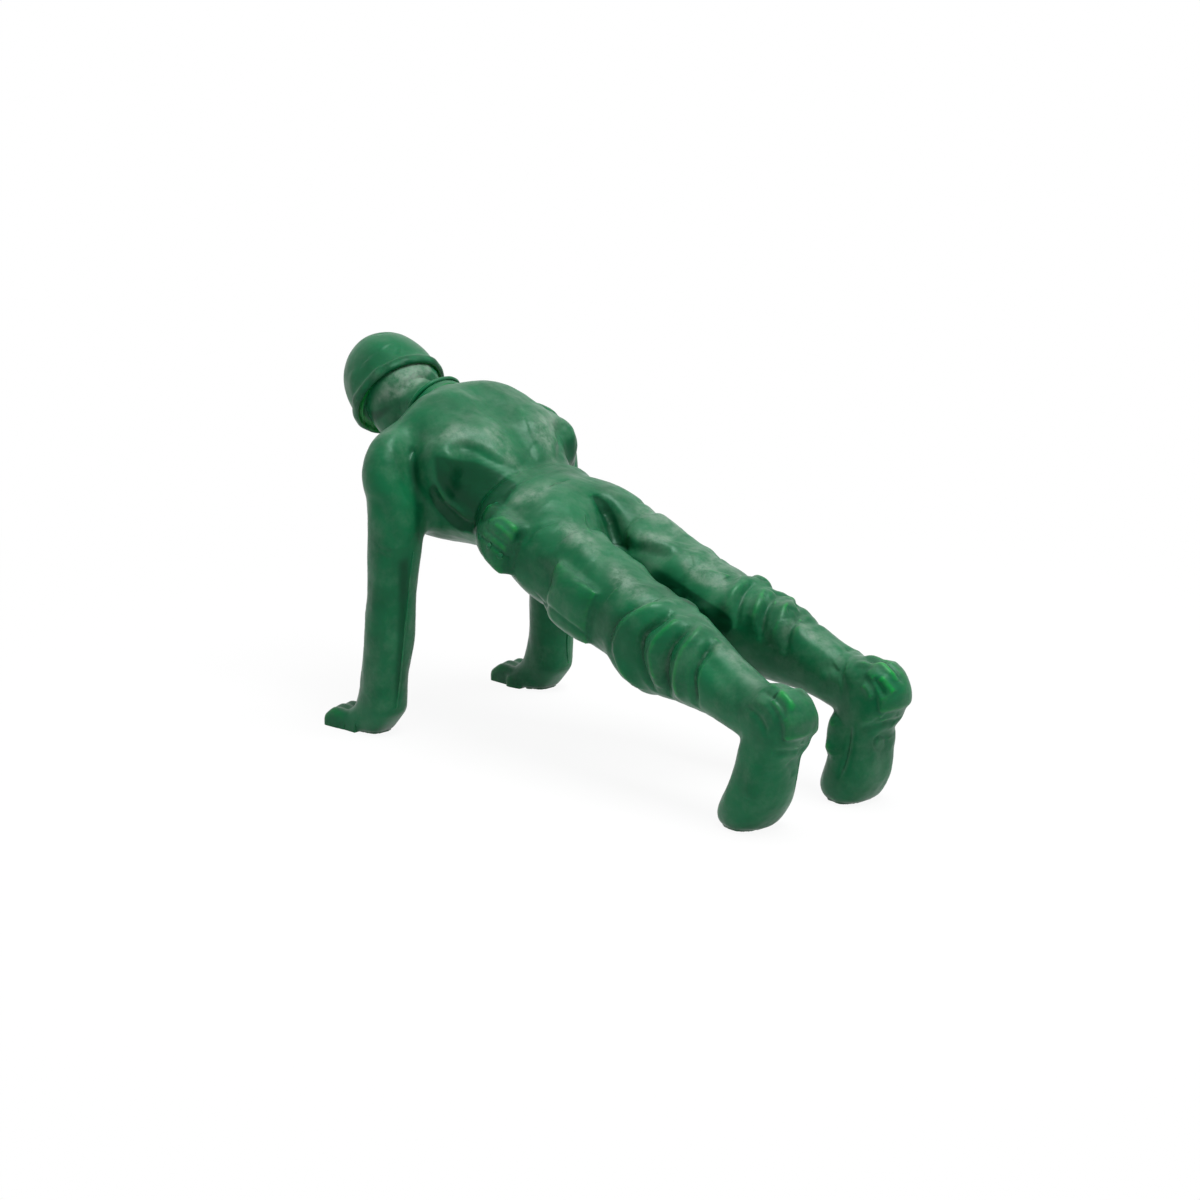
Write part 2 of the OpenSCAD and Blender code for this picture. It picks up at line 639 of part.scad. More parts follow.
function leg_row(k) =
    let (s = leg_shares[k])
        [leg_places[k], leg_half + (ankle_half - leg_half) * s[0], leg_widths[k] / 2, leg_depths[k] * s[1],
            leg_depths[k] * s[2], s[3]];
leg_rows = [for (k = [0:6]) leg_row(k)];
leg_steps = 3;
knee_steps = 7;
pocket_steps = 4;
// The knee's folds bow towards the hip on the sides of the leg
fold_bow_share = 0.1;
function folds(s, side) =
    let (t = (s - thigh_len) / knee_len, bowed = t - fold_bow_share * pow(side, 2))
        t <= 0 || t >= 1 ? 0
            : fold_h * sin(180 * t) * (1 - cos(360 * fold_n * (bowed + fold_bow_share / 2)));
function leg_ring(s, gathered = 0) =
    let (
        r = row_at(leg_rows, place_t(leg_rows, s)),
        c = crotch + s * along(slope) + [0, r[1], 0],
        v = above(slope)
    ) [for (q = ring(c, [0, 1, 0], v, r[2], r[3], r[4], r[5], limb_n))
        let (d = q - c, side = (d * v) / r[3]) q + d / norm(d) * gathered * folds(s, side)];
thigh_rings = [for (s = concat([0], [for (k = [0:pocket_steps]) pocket_drop + pocket_len * k / pocket_steps],
    [thigh_len])) leg_ring(s)];
knee_rings = [for (k = [0:2 * knee_steps]) leg_ring(thigh_len + knee_len * k / (2 * knee_steps), 1)];
shin_rings = [for (k = [0:2 * leg_steps]) leg_ring(thigh_len + knee_len + shin_len * k / (2 * leg_steps))];

module left_thigh() {
    color(skin) loft(swayed(thigh_rings));
}
module right_thigh() {
    color(skin) loft(swayed(mirrored(thigh_rings)));
}
module left_knee_gathers() {
    color(skin) loft(swayed(knee_rings));
}
module right_knee_gathers() {
    color(skin) loft(swayed(mirrored(knee_rings)));
}
module left_trouser_leg() {
    color(skin) loft(swayed(shin_rings));
}
module right_trouser_leg() {
    color(skin) loft(swayed(mirrored(shin_rings)));
}
pocket_edge_share = 0.5;
module thigh_pocket(rings) {
    color(skin) pad(swayed(rings), 1, 1 + pocket_steps, -3, 2, pocket_t, pocket_edge_share);
}
module left_thigh_pocket() {
    thigh_pocket(thigh_rings);
}
module right_thigh_pocket() {
    thigh_pocket(mirrored(thigh_rings));
}

// Boot: rings fan round the instep crease from the ankle to the foot, then run down to the toe.
// The toe curls forward and is cut level on the floor. Each row holds: place from the crease down the foot
// as a share of its length, shift back and depth as shares of the foot's depth, half width as a share
// of the foot's, and forward curl in degrees
foot_shares = [
    [0.00, 0.00, 1.10, 0.86, 0],
    [0.28, 0.02, 1.08, 0.92, 0],
    [0.56, -0.02, 1.12, 1.00, 2],
    [0.80, -0.14, 1.05, 0.94, 8],
    [0.94, -0.12, 0.77, 0.72, 14],
    [1.01, -0.01, 0.44, 0.42, 16]
];
foot_steps = 2;
heel_steps = 3;
crease_pt = [crease[0], ankle_half, crease[2]];
ankle_to_foot = acos(above(slope) * foot_back);
fan_angles = concat([0, heel_top_turn / 2],
    [for (k = [0:heel_steps]) heel_top_turn + (heel_end_turn - heel_top_turn) * k / heel_steps],
    [(heel_end_turn + ankle_to_foot) / 2, ankle_to_foot]);
top_d = foot_d * foot_shares[0][2];
top_w = foot_w * foot_shares[0][3];
function boot_fan_ring(a) =
    let (
        share = a / ankle_to_foot,
        out = [-sin(slope + a), 0, cos(slope + a)],
        deep = ankle_d + (top_d - ankle_d) * share + (heel_reach - (ankle_d + top_d) / 2) * sin(180 * share),
        w = ankle_w / 2 + (top_w - ankle_w) / 2 * share,
        p = ankle_square + (foot_square - ankle_square) * share
    ) ring(crease_pt + deep / 2 * out, [0, 1, 0], out, w, deep / 2, deep / 2, p, limb_n);

// side is 1 for the left boot and -1 for the right one
function foot_ring(t, side) =
    let (
        s = row_at(foot_shares, t),
        deep = s[2] * foot_d,
        tilt = foot_tilt + s[4],
        out = [-cos(tilt), 0, -sin(tilt)],
        down = foot_len * foot_down + [side * toe_skew / 2, 0, 0],
        c = crease_pt + s[0] * down + s[1] * foot_d * foot_back + deep / 2 * out
    ) [for (q = ring(c, [0, 1, 0], out, s[3] * foot_w / 2, deep / 2, deep / 2, foot_square, limb_n))
        [q[0], q[1], max(0, q[2])]];
foot_last = len(foot_shares) - 1;
function boot_rings(side) = concat([for (a = fan_angles) boot_fan_ring(a)],
    [for (k = [1:foot_last * foot_steps]) foot_ring(k / foot_steps, side)]);
left_boot_rings = swayed(boot_rings(1));
right_boot_rings = swayed(mirrored(boot_rings(-1)));

module left_boot() {
    color(skin) loft(left_boot_rings);
}
module right_boot() {
    color(skin) loft(right_boot_rings);
}
heel_edge_share = 0.8;
module boot_heel(rings) {
    color(skin) pad(rings, 2, 2 + heel_steps, 3, 9, heel_t, heel_edge_share);
}
module left_boot_heel() {
    boot_heel(left_boot_rings);
}
module right_boot_heel() {
    boot_heel(right_boot_rings);
}

// The origin lies on the floor under the middle of the figure's bounding box
front_x = max([for (r = helmet_rings) each [for (q = r) q[0]]]);
back_x = min([for (rings = [left_boot_rings, right_boot_rings])
    each [for (q = concat([for (r = rings) each r],
        pad_points(rings, 2, 2 + heel_steps, 3, 9, heel_t, heel_edge_share))) q[0]]]);
origin_x = (front_x + back_x) / 2;

module placed() {
    translate([-origin_x, 0, 0]) children();
}

placed() helmet();
placed() head();
placed() neck();
placed() collar();
placed() torso();
placed() left_upper_arm();
placed() left_forearm();
placed() left_hand();
placed() right_upper_arm();
placed() right_forearm();
placed() right_hand();
placed() waistband();
placed() trouser_seat();
placed() hip_pouch();
placed() left_thigh();
placed() left_thigh_pocket();
placed() left_knee_gathers();
placed() left_trouser_leg();
placed() left_boot();
placed() left_boot_heel();
placed() right_thigh();
placed() right_thigh_pocket();
placed() right_knee_gathers();
placed() right_trouser_leg();
placed() right_boot();
placed() right_boot_heel();
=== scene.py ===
import math
from itertools import permutations, product as pairs
import bmesh
import bpy
import numpy as np
from mathutils import Matrix, Vector
from mathutils.bvhtree import BVHTree


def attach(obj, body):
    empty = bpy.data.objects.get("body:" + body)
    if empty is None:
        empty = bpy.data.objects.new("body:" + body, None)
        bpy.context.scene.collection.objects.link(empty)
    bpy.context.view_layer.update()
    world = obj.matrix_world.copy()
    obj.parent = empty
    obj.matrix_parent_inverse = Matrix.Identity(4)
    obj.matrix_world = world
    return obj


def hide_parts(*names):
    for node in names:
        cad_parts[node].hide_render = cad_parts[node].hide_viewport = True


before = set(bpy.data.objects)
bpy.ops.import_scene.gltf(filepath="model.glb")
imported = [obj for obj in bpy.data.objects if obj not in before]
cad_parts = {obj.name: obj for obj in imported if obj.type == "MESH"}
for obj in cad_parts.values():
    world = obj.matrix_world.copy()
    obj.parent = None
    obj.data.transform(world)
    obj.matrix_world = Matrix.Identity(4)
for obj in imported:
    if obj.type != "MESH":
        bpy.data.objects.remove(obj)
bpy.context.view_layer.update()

bl_info = {
    "name": "Toy soldier in a plank",
    "version": (1, 0, 0),
    "blender": (4, 5, 0),
    "location": "3D View > Sidebar > Figure",
    "description": "Sculpted skin, clothes, helmet and moulded plastic finish of a toy soldier",
    "category": "Object",
}

MM = 0.001


def length(name, description, default, low, high):
    """A length property, given in millimetres."""
    return bpy.props.FloatProperty(name=name, description=description, default=default * MM, min=low * MM,
                                   max=high * MM, precision=6, subtype="DISTANCE", unit="LENGTH")


def paint(name, description, *rgb):
    """A colour property."""
    return bpy.props.FloatVectorProperty(name=name, description=description, subtype="COLOR", size=4,
                                         min=0.0, max=1.0, default=rgb + (1.0,))


class FigureSizes(bpy.types.PropertyGroup):
    """Sizes of the sculpted detail."""
    grain: length("Skin grain", "Edge of one facet of the sculpted skin", 0.14, 0.08, 0.4)
    pad_grain: length("Collar grain", "Edge of one facet of the collar", 0.1, 0.06, 0.4)
    pad_sink: length("Collar root", "How deep the collar is rooted in the neck", 0.4, 0.0, 1.0)
    side_relief: length("Flank draw-in", "How far the chest's free sides lie inside the shoulder plane",
                        0.25, 0.05, 0.6)
    lump: length("Hand-made unevenness", "Height of the soft lumps that the carved master left",
                 0.06, 0.0, 0.2)
    stud: length("Stud", "Diameter of a stud on the pouch", 0.7, 0.3, 1.2)
    collar_roll: length("Collar roll", "Thickness of the collar's rolled edge", 0.5, 0.3, 1.2)
    seam: length("Mould seam", "Thickness of the bead that the mould left on the arms", 0.22, 0.05, 0.5)
    relief: bpy.props.FloatProperty(
        name="Relief", description="Strength of every carved line, 1 as on the real figure",
        default=1.0, min=0.0, max=2.0, subtype="FACTOR")


class FigureColours(bpy.types.PropertyGroup):
    """Colours of the plastic and of the stage."""
    plastic: paint("Plastic", "Green of the moulded plastic", 0.004, 0.118, 0.044)
    # Deep green: deeper green of the random clouds, and painted shade in grooves, on undersides and in the
    # dark painted fields
    deep_and_shade: paint("Deep green", "Green where the plastic lies in a groove", 0.001, 0.040, 0.014)
    # Thin edges: painted light, a bright green for raised edges and pads as a painted highlight, and for the
    # helmet's thin lip as light shining through
    thin_and_lit: paint("Thin edges", "Brighter green of thin rims and edges", 0.003, 0.290, 0.038)
    # Dust: grey-green of real dust in hollows and smears, also used as the painted highlight on the rubbed,
    # lit painted fields
    dust_and_sheen: paint("Dust", "Grey-green dust in the hollows", 0.165, 0.255, 0.190)
    floor: paint("Floor", "Colour of the floor", 0.9, 0.9, 0.9)


# Place of the photographer's eye in millimetres, its turn and fall in degrees, and its lens
EYE = np.array([-257.381, 242.856, 111.410])
EYE_TURN, EYE_FALL = math.radians(43.592), math.radians(15.076)
IMAGE = 1200
FOCAL = 3500.0
LENS_MM = 105.0
SENSOR_MM = 36.0


def eye_axes():
    """Directions to the right, up and ahead as the eye sees them."""
    ahead = np.array([math.cos(EYE_TURN) * math.cos(EYE_FALL),
                      -math.sin(EYE_TURN) * math.cos(EYE_FALL), -math.sin(EYE_FALL)])
    right = np.cross(ahead, [0, 0, 1])
    right /= np.linalg.norm(right)
    return right, np.cross(right, ahead), ahead


# Carved lines. Each: kind, half width and height in millimetres, the share of it that the other side of
# the body has, and its points as the eye sees them, in pixels of 1200. On a step the high side lies to
# the left of the way in which the line is drawn.
BACK_LINES = [
    ("ridge", 1.6, 0.24, 1, [(436, 440), (446, 430), (462, 425), (486, 428), (504, 440)]),
    ("groove", 0.6, 0.07, 0, [(512, 418), (516, 432), (524, 446), (534, 460), (541, 468)]),
    ("step", 0.35, 0.06, 0, [(548, 462), (540, 450), (532, 436), (526, 422), (520, 404)]),
    ("crease", 0.4, 0.08, 0, [(508, 466), (516, 472), (522, 476)]),
    ("ridge", 0.5, 0.14, 0, [(535, 404), (543, 409), (553, 416)]),
    ("groove", 0.5, 0.14, 0, [(538, 412), (546, 418), (556, 428)]),
    ("ridge", 0.5, 0.12, 0, [(541, 422), (549, 432), (558, 444)]),
    ("groove", 0.6, 0.16, 0, [(384, 420), (396, 412), (408, 404)]),
    ("ridge", 0.8, 0.10, 0, [(455, 392), (470, 398), (486, 404)]),
    ("groove", 0.7, 0.08, 0, [(440, 404), (456, 410), (476, 414)]),
]
# Fields of the back and the trousers. The skin inside is raised or lowered, with a sharp edge along the
# first line and a soft one along the second. Each: widths of the sharp and the soft edge and height in
# millimetres, 1 if the other side has it too, and the two lines.
BACK_FIELDS = [
    (1.0, 2.6, 0.36, 1, [(430, 440), (440, 446), (450, 450), (461, 449), (476, 453), (494, 463), (510, 470),
                         (522, 479)],
     [(524, 464), (514, 440), (502, 424), (484, 417), (454, 417), (436, 428)]),
    (1.2, 2.8, -0.46, 1, [(432, 470), (434, 486), (446, 502), (460, 516), (474, 528), (492, 520)],
     [(512, 496), (522, 482), (510, 472), (494, 465), (476, 455), (455, 452), (436, 448)]),
    (0.9, 0.9, -0.34, 1, [(434, 480), (428, 492), (434, 506), (444, 518), (453, 527), (464, 533), (477, 535)],
     [(479, 520), (468, 516), (457, 508), (446, 500)]),
    (0.9, 1.8, 0.18, 1, [(388, 432), (398, 428), (410, 431), (414, 440)],
     [(408, 462), (398, 490), (386, 480), (380, 450)]),
]
# Painted fields of light and dust: tone, soft edge in millimetres, the share that the other side has, and the
# outline.
# Above 0 the plastic is rubbed and dusty, on most fields as a painted highlight; below 0 it is painted shade
# and painted dark reflection, deep green and glossy.
LIGHT_AND_DUST_FIELDS = [
    (0.80, 0.7, 0, [(388, 366), (404, 360), (426, 358), (434, 372), (416, 390), (398, 402), (376, 414),
                    (368, 404)]),
    # painted shade under the helmet's rim at the side of the neck
    (-0.6, 0.8, 0, [(366, 408), (384, 398), (398, 400), (388, 416), (370, 426)]),
    # painted dark reflection and shade in the recess on the flank
    (-1.7, 0.5, 0.3, [(434, 480), (428, 492), (434, 506), (444, 518), (453, 527), (464, 533), (477, 535),
                      (479, 520), (468, 516), (457, 508), (446, 500)]),
    # painted shade on the flank below the shoulder blades
    (-0.95, 0.8, 0.4, [(430, 450), (455, 456), (480, 460), (505, 472), (522, 484), (512, 500), (498, 518),
                       (476, 526), (456, 508), (436, 484)]),
    # painted highlight on the shoulder blades
    (0.68, 1.7, 1, [(428, 440), (438, 428), (454, 419), (485, 420), (504, 424), (515, 440), (526, 463),
                    (524, 480), (494, 462), (476, 452), (450, 449)]),
    # painted highlight on the waistband
    (0.58, 0.9, 0, [(502, 508), (510, 492), (528, 482), (546, 478), (564, 480), (550, 496), (530, 506)]),
    # painted highlight on the seat and the top of the thighs
    (0.58, 1.6, 1, [(552, 518), (576, 516), (604, 542), (604, 562), (580, 560), (558, 542)]),
    # painted highlight along the near thigh
    (0.58, 1.6, 1, [(602, 560), (624, 560), (654, 590), (652, 610), (628, 606), (606, 586)]),
    # painted highlight along the far thigh
    (0.63, 1.0, 0, [(670, 548), (702, 555), (732, 580), (726, 594), (702, 590), (682, 574)]),
    (0.55, 1.0, 0, [(630, 526), (652, 528), (676, 535), (668, 548), (648, 548), (632, 540)]),
    (0.80, 0.3, 0, [(462, 524), (470, 527), (478, 540), (474, 548), (464, 537)]),
    # painted highlight on the shins
    (0.53, 1.2, 1, [(708, 632), (738, 648), (768, 678), (754, 688), (728, 670), (706, 650)]),
    # painted highlight on the boot tops above the heels
    (0.30, 0.9, 1, [(776, 694), (798, 712), (792, 724), (772, 710)]),
    # painted highlight on the far calf
    (0.30, 1.0, 0, [(798, 618), (826, 632), (848, 656), (840, 670), (816, 652), (798, 638)]),
    # painted shade in the hollow between the near shoulder and the back
    (-0.6, 0.9, 0.4, [(404, 440), (418, 444), (424, 480), (424, 540), (412, 540), (410, 500), (404, 470)]),
    # painted shade down the rear side of the near arm
    (-0.6, 0.8, 0, [(396, 560), (412, 560), (408, 640), (402, 700), (392, 704), (394, 640)]),
    # painted shade on the far leg's inner side, between the legs
    (-1.6, 0.5, 0, [(614, 534), (624, 540), (642, 552), (667, 572), (692, 590), (716, 606), (734, 622),
                    (724, 634), (702, 614), (678, 600), (662, 588), (648, 574), (635, 560), (622, 549)]),
    # painted shade in the seat's cleft
    (-1.5, 0.4, 0, [(590, 492), (604, 499), (614, 513), (620, 530), (624, 548), (612, 547), (605, 530),
                    (598, 512)]),
    # painted shade on the side of the far shin that faces the near leg
    (-0.7, 0.9, 0, [(730, 620), (752, 615), (790, 650), (828, 690), (812, 706), (770, 676), (734, 650)]),
]
SEAT_FIELDS = [
    (0.6, 1.8, 0.24, 0, [(497, 504), (505, 494), (515, 485), (532, 475), (557, 467), (580, 466)],
     [(600, 482), (590, 500), (560, 510), (530, 512), (508, 514)]),
]
ARM_LINES = [
    ("groove", 0.8, 0.18, 1, [(374, 494), (380, 508), (390, 526), (394, 548)]),
    ("ridge", 1.0, 0.18, 1, [(384, 556), (380, 576), (377, 596), (373, 622)]),
    ("crease", 0.22, 0.10, 0, [(376, 546), (383, 549), (391, 552)]),
    ("crease", 0.22, 0.08, 0, [(378, 553), (386, 556)]),
    ("groove", 0.7, 0.18, 1, [(402, 548), (401, 580), (397, 612), (392, 650)]),
    ("ridge", 0.6, 0.14, 1, [(366, 612), (362, 640), (360, 668), (360, 690)]),
]
SEAT_LINES = [
    ("crease", 0.5, 0.22, 1, [(524, 545), (534, 532), (548, 524), (562, 520)]),
    ("crease", 0.35, 0.26, 0, [(546, 488), (556, 482), (570, 479)]),
    ("groove", 1.4, 0.12, 1, [(548, 503), (560, 511), (574, 514), (588, 512)]),
    ("groove", 0.9, 1.1, 0, [(594, 494), (604, 505), (611, 518), (615, 534), (619, 548)]),
    ("crease", 0.5, 1.0, 0, [(592, 494), (602, 501), (609, 513), (613, 527), (615, 543)]),
    ("step", 0.3, 0.12, 0, [(594, 536), (587, 525), (586, 512)]),
    ("ridge", 1.2, 0.26, 1, [(560, 528), (572, 538), (584, 548), (598, 558)]),
    ("groove", 0.9, 0.20, 1, [(588, 546), (602, 552), (614, 556)]),
    ("ridge", 1.1, 0.24, 1, [(606, 566), (618, 574), (630, 584), (642, 596)]),
    ("groove", 0.9, 0.20, 1, [(536, 560), (546, 572), (552, 590)]),
    ("crease", 0.5, 0.20, 1, [(533, 590), (546, 605), (570, 624), (590, 638)]),
    ("ridge", 0.8, 0.20, 0, [(640, 536), (662, 544), (680, 550)]),
    ("groove", 0.8, 0.30, 0, [(624, 548), (650, 552), (672, 560)]),
    ("ridge", 1.0, 0.22, 0, [(680, 556), (700, 570), (722, 586)]),
    ("groove", 0.8, 0.16, 0, [(652, 574), (676, 588), (704, 606)]),
]
KNEE_LINES = [
    ("ridge", 0.75, 0.58, 0.3, [(672, 601), (652, 608), (635, 617), (622, 630), (618, 648), (624, 668),
                                (637, 688)]),
    ("groove", 0.42, 0.58, 0.3, [(674, 612), (656, 624), (643, 636), (640, 654), (646, 676), (655, 692)]),
    ("ridge", 0.62, 0.46, 0.3, [(684, 616), (667, 630), (655, 643), (652, 660), (659, 688)]),
    ("groove", 0.40, 0.54, 0.3, [(690, 626), (675, 641), (667, 656), (665, 674), (669, 697)]),
    ("ridge", 0.66, 0.46, 0.3, [(704, 624), (694, 637), (683, 653), (677, 676), (679, 700)]),
    ("groove", 0.50, 0.60, 0.3, [(716, 640), (700, 657), (692, 677), (695, 706)]),
    ("ridge", 0.6, 0.20, 0, [(690, 606), (704, 612), (714, 622)]),
    ("crease", 0.5, 0.40, 0.3, [(664, 596), (640, 605), (622, 617), (611, 634), (610, 652)]),
    ("ridge", 0.7, 0.36, 0, [(746, 577), (736, 588), (729, 602), (724, 618)]),
    ("groove", 0.4, 0.34, 0, [(754, 582), (744, 594), (738, 610), (734, 628)]),
    ("ridge", 0.6, 0.34, 0, [(770, 583), (760, 598), (754, 616), (752, 634)]),
    ("groove", 0.4, 0.34, 0, [(780, 592), (768, 606), (763, 622), (760, 642)]),
    ("ridge", 0.6, 0.34, 0, [(794, 596), (784, 610), (776, 630), (772, 648)]),
    ("groove", 0.45, 0.34, 0, [(806, 607), (796, 620), (788, 636), (784, 656)]),
]
SHIN_LINES = [
    ("ridge", 0.9, 0.24, 1, [(712, 638), (732, 655), (756, 678)]),
    ("groove", 0.8, 0.20, 1, [(702, 652), (714, 668), (728, 684), (738, 700)]),
    ("ridge", 0.9, 0.20, 0, [(812, 620), (832, 640), (854, 660)]),
    ("groove", 0.5, 0.2, 0, [(838, 664), (838, 678), (836, 690)]),
]
BOOT_LINES = [
    ("ridge", 0.42, 0.24, 1, [(770, 684), (781, 692), (790, 702), (794, 712)]),
    ("groove", 0.34, 0.26, 1, [(762, 690), (774, 698), (782, 708), (784, 720)]),
    ("ridge", 0.40, 0.18, 1, [(754, 698), (766, 706), (773, 716), (774, 728)]),
    ("groove", 0.34, 0.18, 1, [(745, 706), (756, 714), (764, 726), (766, 738)]),
    ("groove", 0.45, 0.30, 1, [(772, 752), (791, 753), (809, 749)]),
    ("groove", 0.5, 0.16, 0, [(788, 762), (792, 768), (794, 776)]),
    ("ridge", 1.0, 0.16, 1, [(757, 764), (752, 782), (748, 800)]),
    ("groove", 0.9, 0.16, 1, [(772, 770), (768, 790), (762, 810)]),
    ("ridge", 0.42, 0.26, 0, [(862, 684), (868, 690), (872, 700)]),
    ("groove", 0.34, 0.26, 0, [(872, 678), (880, 688), (884, 698)]),
    ("ridge", 0.4, 0.2, 0, [(880, 676), (889, 686), (894, 694)]),
    ("crease", 0.4, 0.30, 0, [(851, 726), (849, 744), (845, 762), (838, 780)]),
    ("ridge", 0.5, 0.16, 0, [(834, 740), (832, 750), (834, 760)]),
    ("groove", 0.45, 0.28, 0, [(856, 729), (879, 727), (903, 720)]),
    ("ring", 0.26, 0.16, 0, [(879, 736), (885, 739), (886, 746), (882, 751), (876, 748), (874, 741),
                             (879, 736)]),
    ("ridge", 1.2, 0.55, 0, [(838, 716), (833, 728), (832, 742), (831, 756)]),
]
POUCH_LINES = [
    ("ridge", 0.5, 0.16, 0, [(488, 522), (500, 519), (510, 525), (518, 536)]),
    ("crease", 0.28, 0.20, 0, [(478, 534), (488, 542), (500, 551), (512, 560), (520, 566)]),
    ("ridge", 0.34, 0.14, 0, [(494, 523), (504, 530), (512, 538), (519, 546)]),
    ("crease", 0.22, 0.14, 0, [(484, 528), (494, 536), (506, 545), (518, 554)]),
]
POCKET_LINES = [
    ("ridge", 0.4, 0.10, 0, [(575, 570), (590, 576), (608, 592)]),
    ("crease", 0.26, 0.12, 0, [(572, 578), (588, 584), (604, 598)]),
]


def units(v):
    """Vectors brought to length 1."""
    return v / np.maximum(np.linalg.norm(v, axis=1), 1e-9)[:, None]


def rising(x, start, width):
    """Share that is 0 up to a start and rises to 1 over a width."""
    return np.clip((x - start) / width, 0, 1)


def ease(x):
    """Soft start and end for a share between 0 and 1."""
    return x * x * (3 - 2 * x)


class Skin:
    """A closed mesh of quads held in arrays, in millimetres, for smoothing and carving. Its points are v
    and its faces f, and a and b are the two ends of each edge, both ways round."""

    def __init__(self, points, faces):
        self.v = np.array(points, float)
        self.f = np.array(faces, np.int64)
        e = np.concatenate([self.f[:, [i, (i + 1) % 4]] for i in range(4)])
        e.sort(axis=1)
        e = np.unique(e[e[:, 0] != e[:, 1]], axis=0)
        self.a = np.concatenate([e[:, 0], e[:, 1]])
        self.b = np.concatenate([e[:, 1], e[:, 0]])
        self.count = np.maximum(np.bincount(self.a, minlength=len(self.v)), 1)

    def mean(self, q):
        """Average of each point's neighbours."""
        if q.ndim == 1:
            return np.bincount(self.a, q[self.b], len(self.v)) / self.count
        return np.stack([np.bincount(self.a, q[self.b, k], len(self.v)) / self.count for k in range(3)], 1)

    def smooth(self, times, weight=1.0, shrink=1.0):
        """Laplacian smoothing where weight is over 0; shrink is the share of it that bumps take."""
        w = np.broadcast_to(np.asarray(weight, float) * 0.5, (len(self.v),))
        act = np.where(w > 1e-4)[0]
        if not len(act):
            return
        where = np.full(len(self.v), -1)
        where[act] = np.arange(len(act))
        link = where[self.a] >= 0
        a, b = where[self.a[link]], self.b[link]
        count, w = self.count[act][:, None], w[act][:, None]
        for turn in range(times):
            q = self.v[b]
            step = np.stack([np.bincount(a, q[:, k], len(act)) for k in range(3)], 1) / count - self.v[act]
            if shrink < 1:
                if turn % 30 == 0:
                    n = self.normals()[act]
                out = (step * n).sum(1)
                step -= n * (np.where(out < 0, out * (1 - shrink), 0))[:, None]
            self.v[act] += step * w

    def normals(self):
        """Outward direction at each point."""
        p = self.v[self.f]
        n = np.cross(p[:, 2] - p[:, 0], p[:, 3] - p[:, 1])
        out = np.stack([sum(np.bincount(self.f[:, i], n[:, k], len(self.v)) for i in range(4))
                        for k in range(3)], 1)
        return units(out)

    def averaged(self, q, times):
        """Values of the points, averaged with their neighbours a number of times."""
        for _ in range(times):
            q = self.mean(q)
        return q

    def spread(self, start, allowed):
        """All allowed points that are joined to the start over allowed points."""
        while True:
            wide = start.copy()
            wide[self.a[start[self.b]]] = True
            wide &= allowed
            if wide.sum() == start.sum():
                return start
            start = wide

    def tree(self, own=None):
        """What rays meet: all faces, or only those between own points."""
        faces = self.f if own is None else self.f[own[self.f].all(1)]
        return BVHTree.FromPolygons(self.v.tolist(), faces.tolist())

    def relief(self, times=14):
        """How far each point stands out of its smoothed surroundings."""
        q = self.v.copy()
        for _ in range(times):
            q += (self.mean(q) - q) * 0.5
        return ((self.v - q) * self.normals()).sum(1)


def lumps(v, size, seed):
    """Soft fixed unevenness between -1 and 1 at points v, with bumps about size across."""
    rng = np.random.default_rng(seed)
    total = np.zeros(len(v))
    for _ in range(7):
        d = rng.normal(size=3)
        d /= np.linalg.norm(d)
        total += np.sin(v @ d * (2 * math.pi / size) * rng.uniform(0.6, 1.4) + rng.uniform(0, 7))
    return total / 7


def resampled(path, step=0.2):
    """A polyline rounded into a smooth curve, with points about a step apart."""
    p = np.array(path, float)
    if len(p) > 2:
        q = [p[0]]
        ext = np.vstack([2 * p[0] - p[1], p, 2 * p[-1] - p[-2]])
        for i in range(1, len(ext) - 2):
            a, b, c, d = ext[i - 1:i + 3]
            for t in np.linspace(0, 1, 9)[1:]:
                q.append((2 * b + (c - a) * t + (2 * a - 5 * b + 4 * c - d) * t ** 2
                          + (3 * b - a - 3 * c + d) * t ** 3) / 2)
        p = np.array(q)
    s = np.concatenate([[0], np.cumsum(np.linalg.norm(np.diff(p, axis=0), axis=1))])
    n = max(3, int(s[-1] / step) + 1)
    t = np.linspace(0, s[-1], n)
    return np.stack([np.interp(t, s, p[:, k]) for k in range(p.shape[1])], 1)


def seen(tree, pixels):
    """Points of the surface under picture places, with a miss put on the nearest surface."""
    right, up, ahead = eye_axes()
    rays = []
    for x, y in pixels:
        d = ahead + right * (x - IMAGE / 2) / FOCAL + up * (IMAGE / 2 - y) / FOCAL
        d /= np.linalg.norm(d)
        rays.append((d, tree.ray_cast(Vector(EYE), Vector(d))[0]))
    reach = [float(np.dot(np.array(hit) - EYE, d)) for d, hit in rays if hit is not None]
    if not reach:
        return np.zeros((0, 3))
    usual = float(np.median(reach))
    return np.array([np.array(hit if hit is not None else tree.find_nearest(Vector(EYE + d * usual))[0])
                     for d, hit in rays])


def profile(kind, u):
    """Height of a carved line's section at u half widths from its middle."""
    if kind == "ridge":
        return np.exp(-u ** 2)
    if kind == "groove":
        return -np.exp(-u ** 2)
    if kind in ("crease", "ring"):
        return -np.exp(-1.6 * np.abs(u)) * np.exp(-0.15 * u ** 2)
    if kind == "step":
        return np.tanh(u * 2) * np.exp(-(u / 2.4) ** 2)
    raise ValueError(kind)


# A line is carved as far out as this many half widths, in batches of this many distances
CARVE_REACH, BATCH = 3.2, 3000000
# How full a line is between its ends, and how steeply it fades toward them
END_GAIN, END_POWER = 1.8, 0.8
# Start and width of the fade on skin that turns away from a line, and from the eye
TURNED, UNSEEN = (0.15, 0.4), (0.05, 0.25)


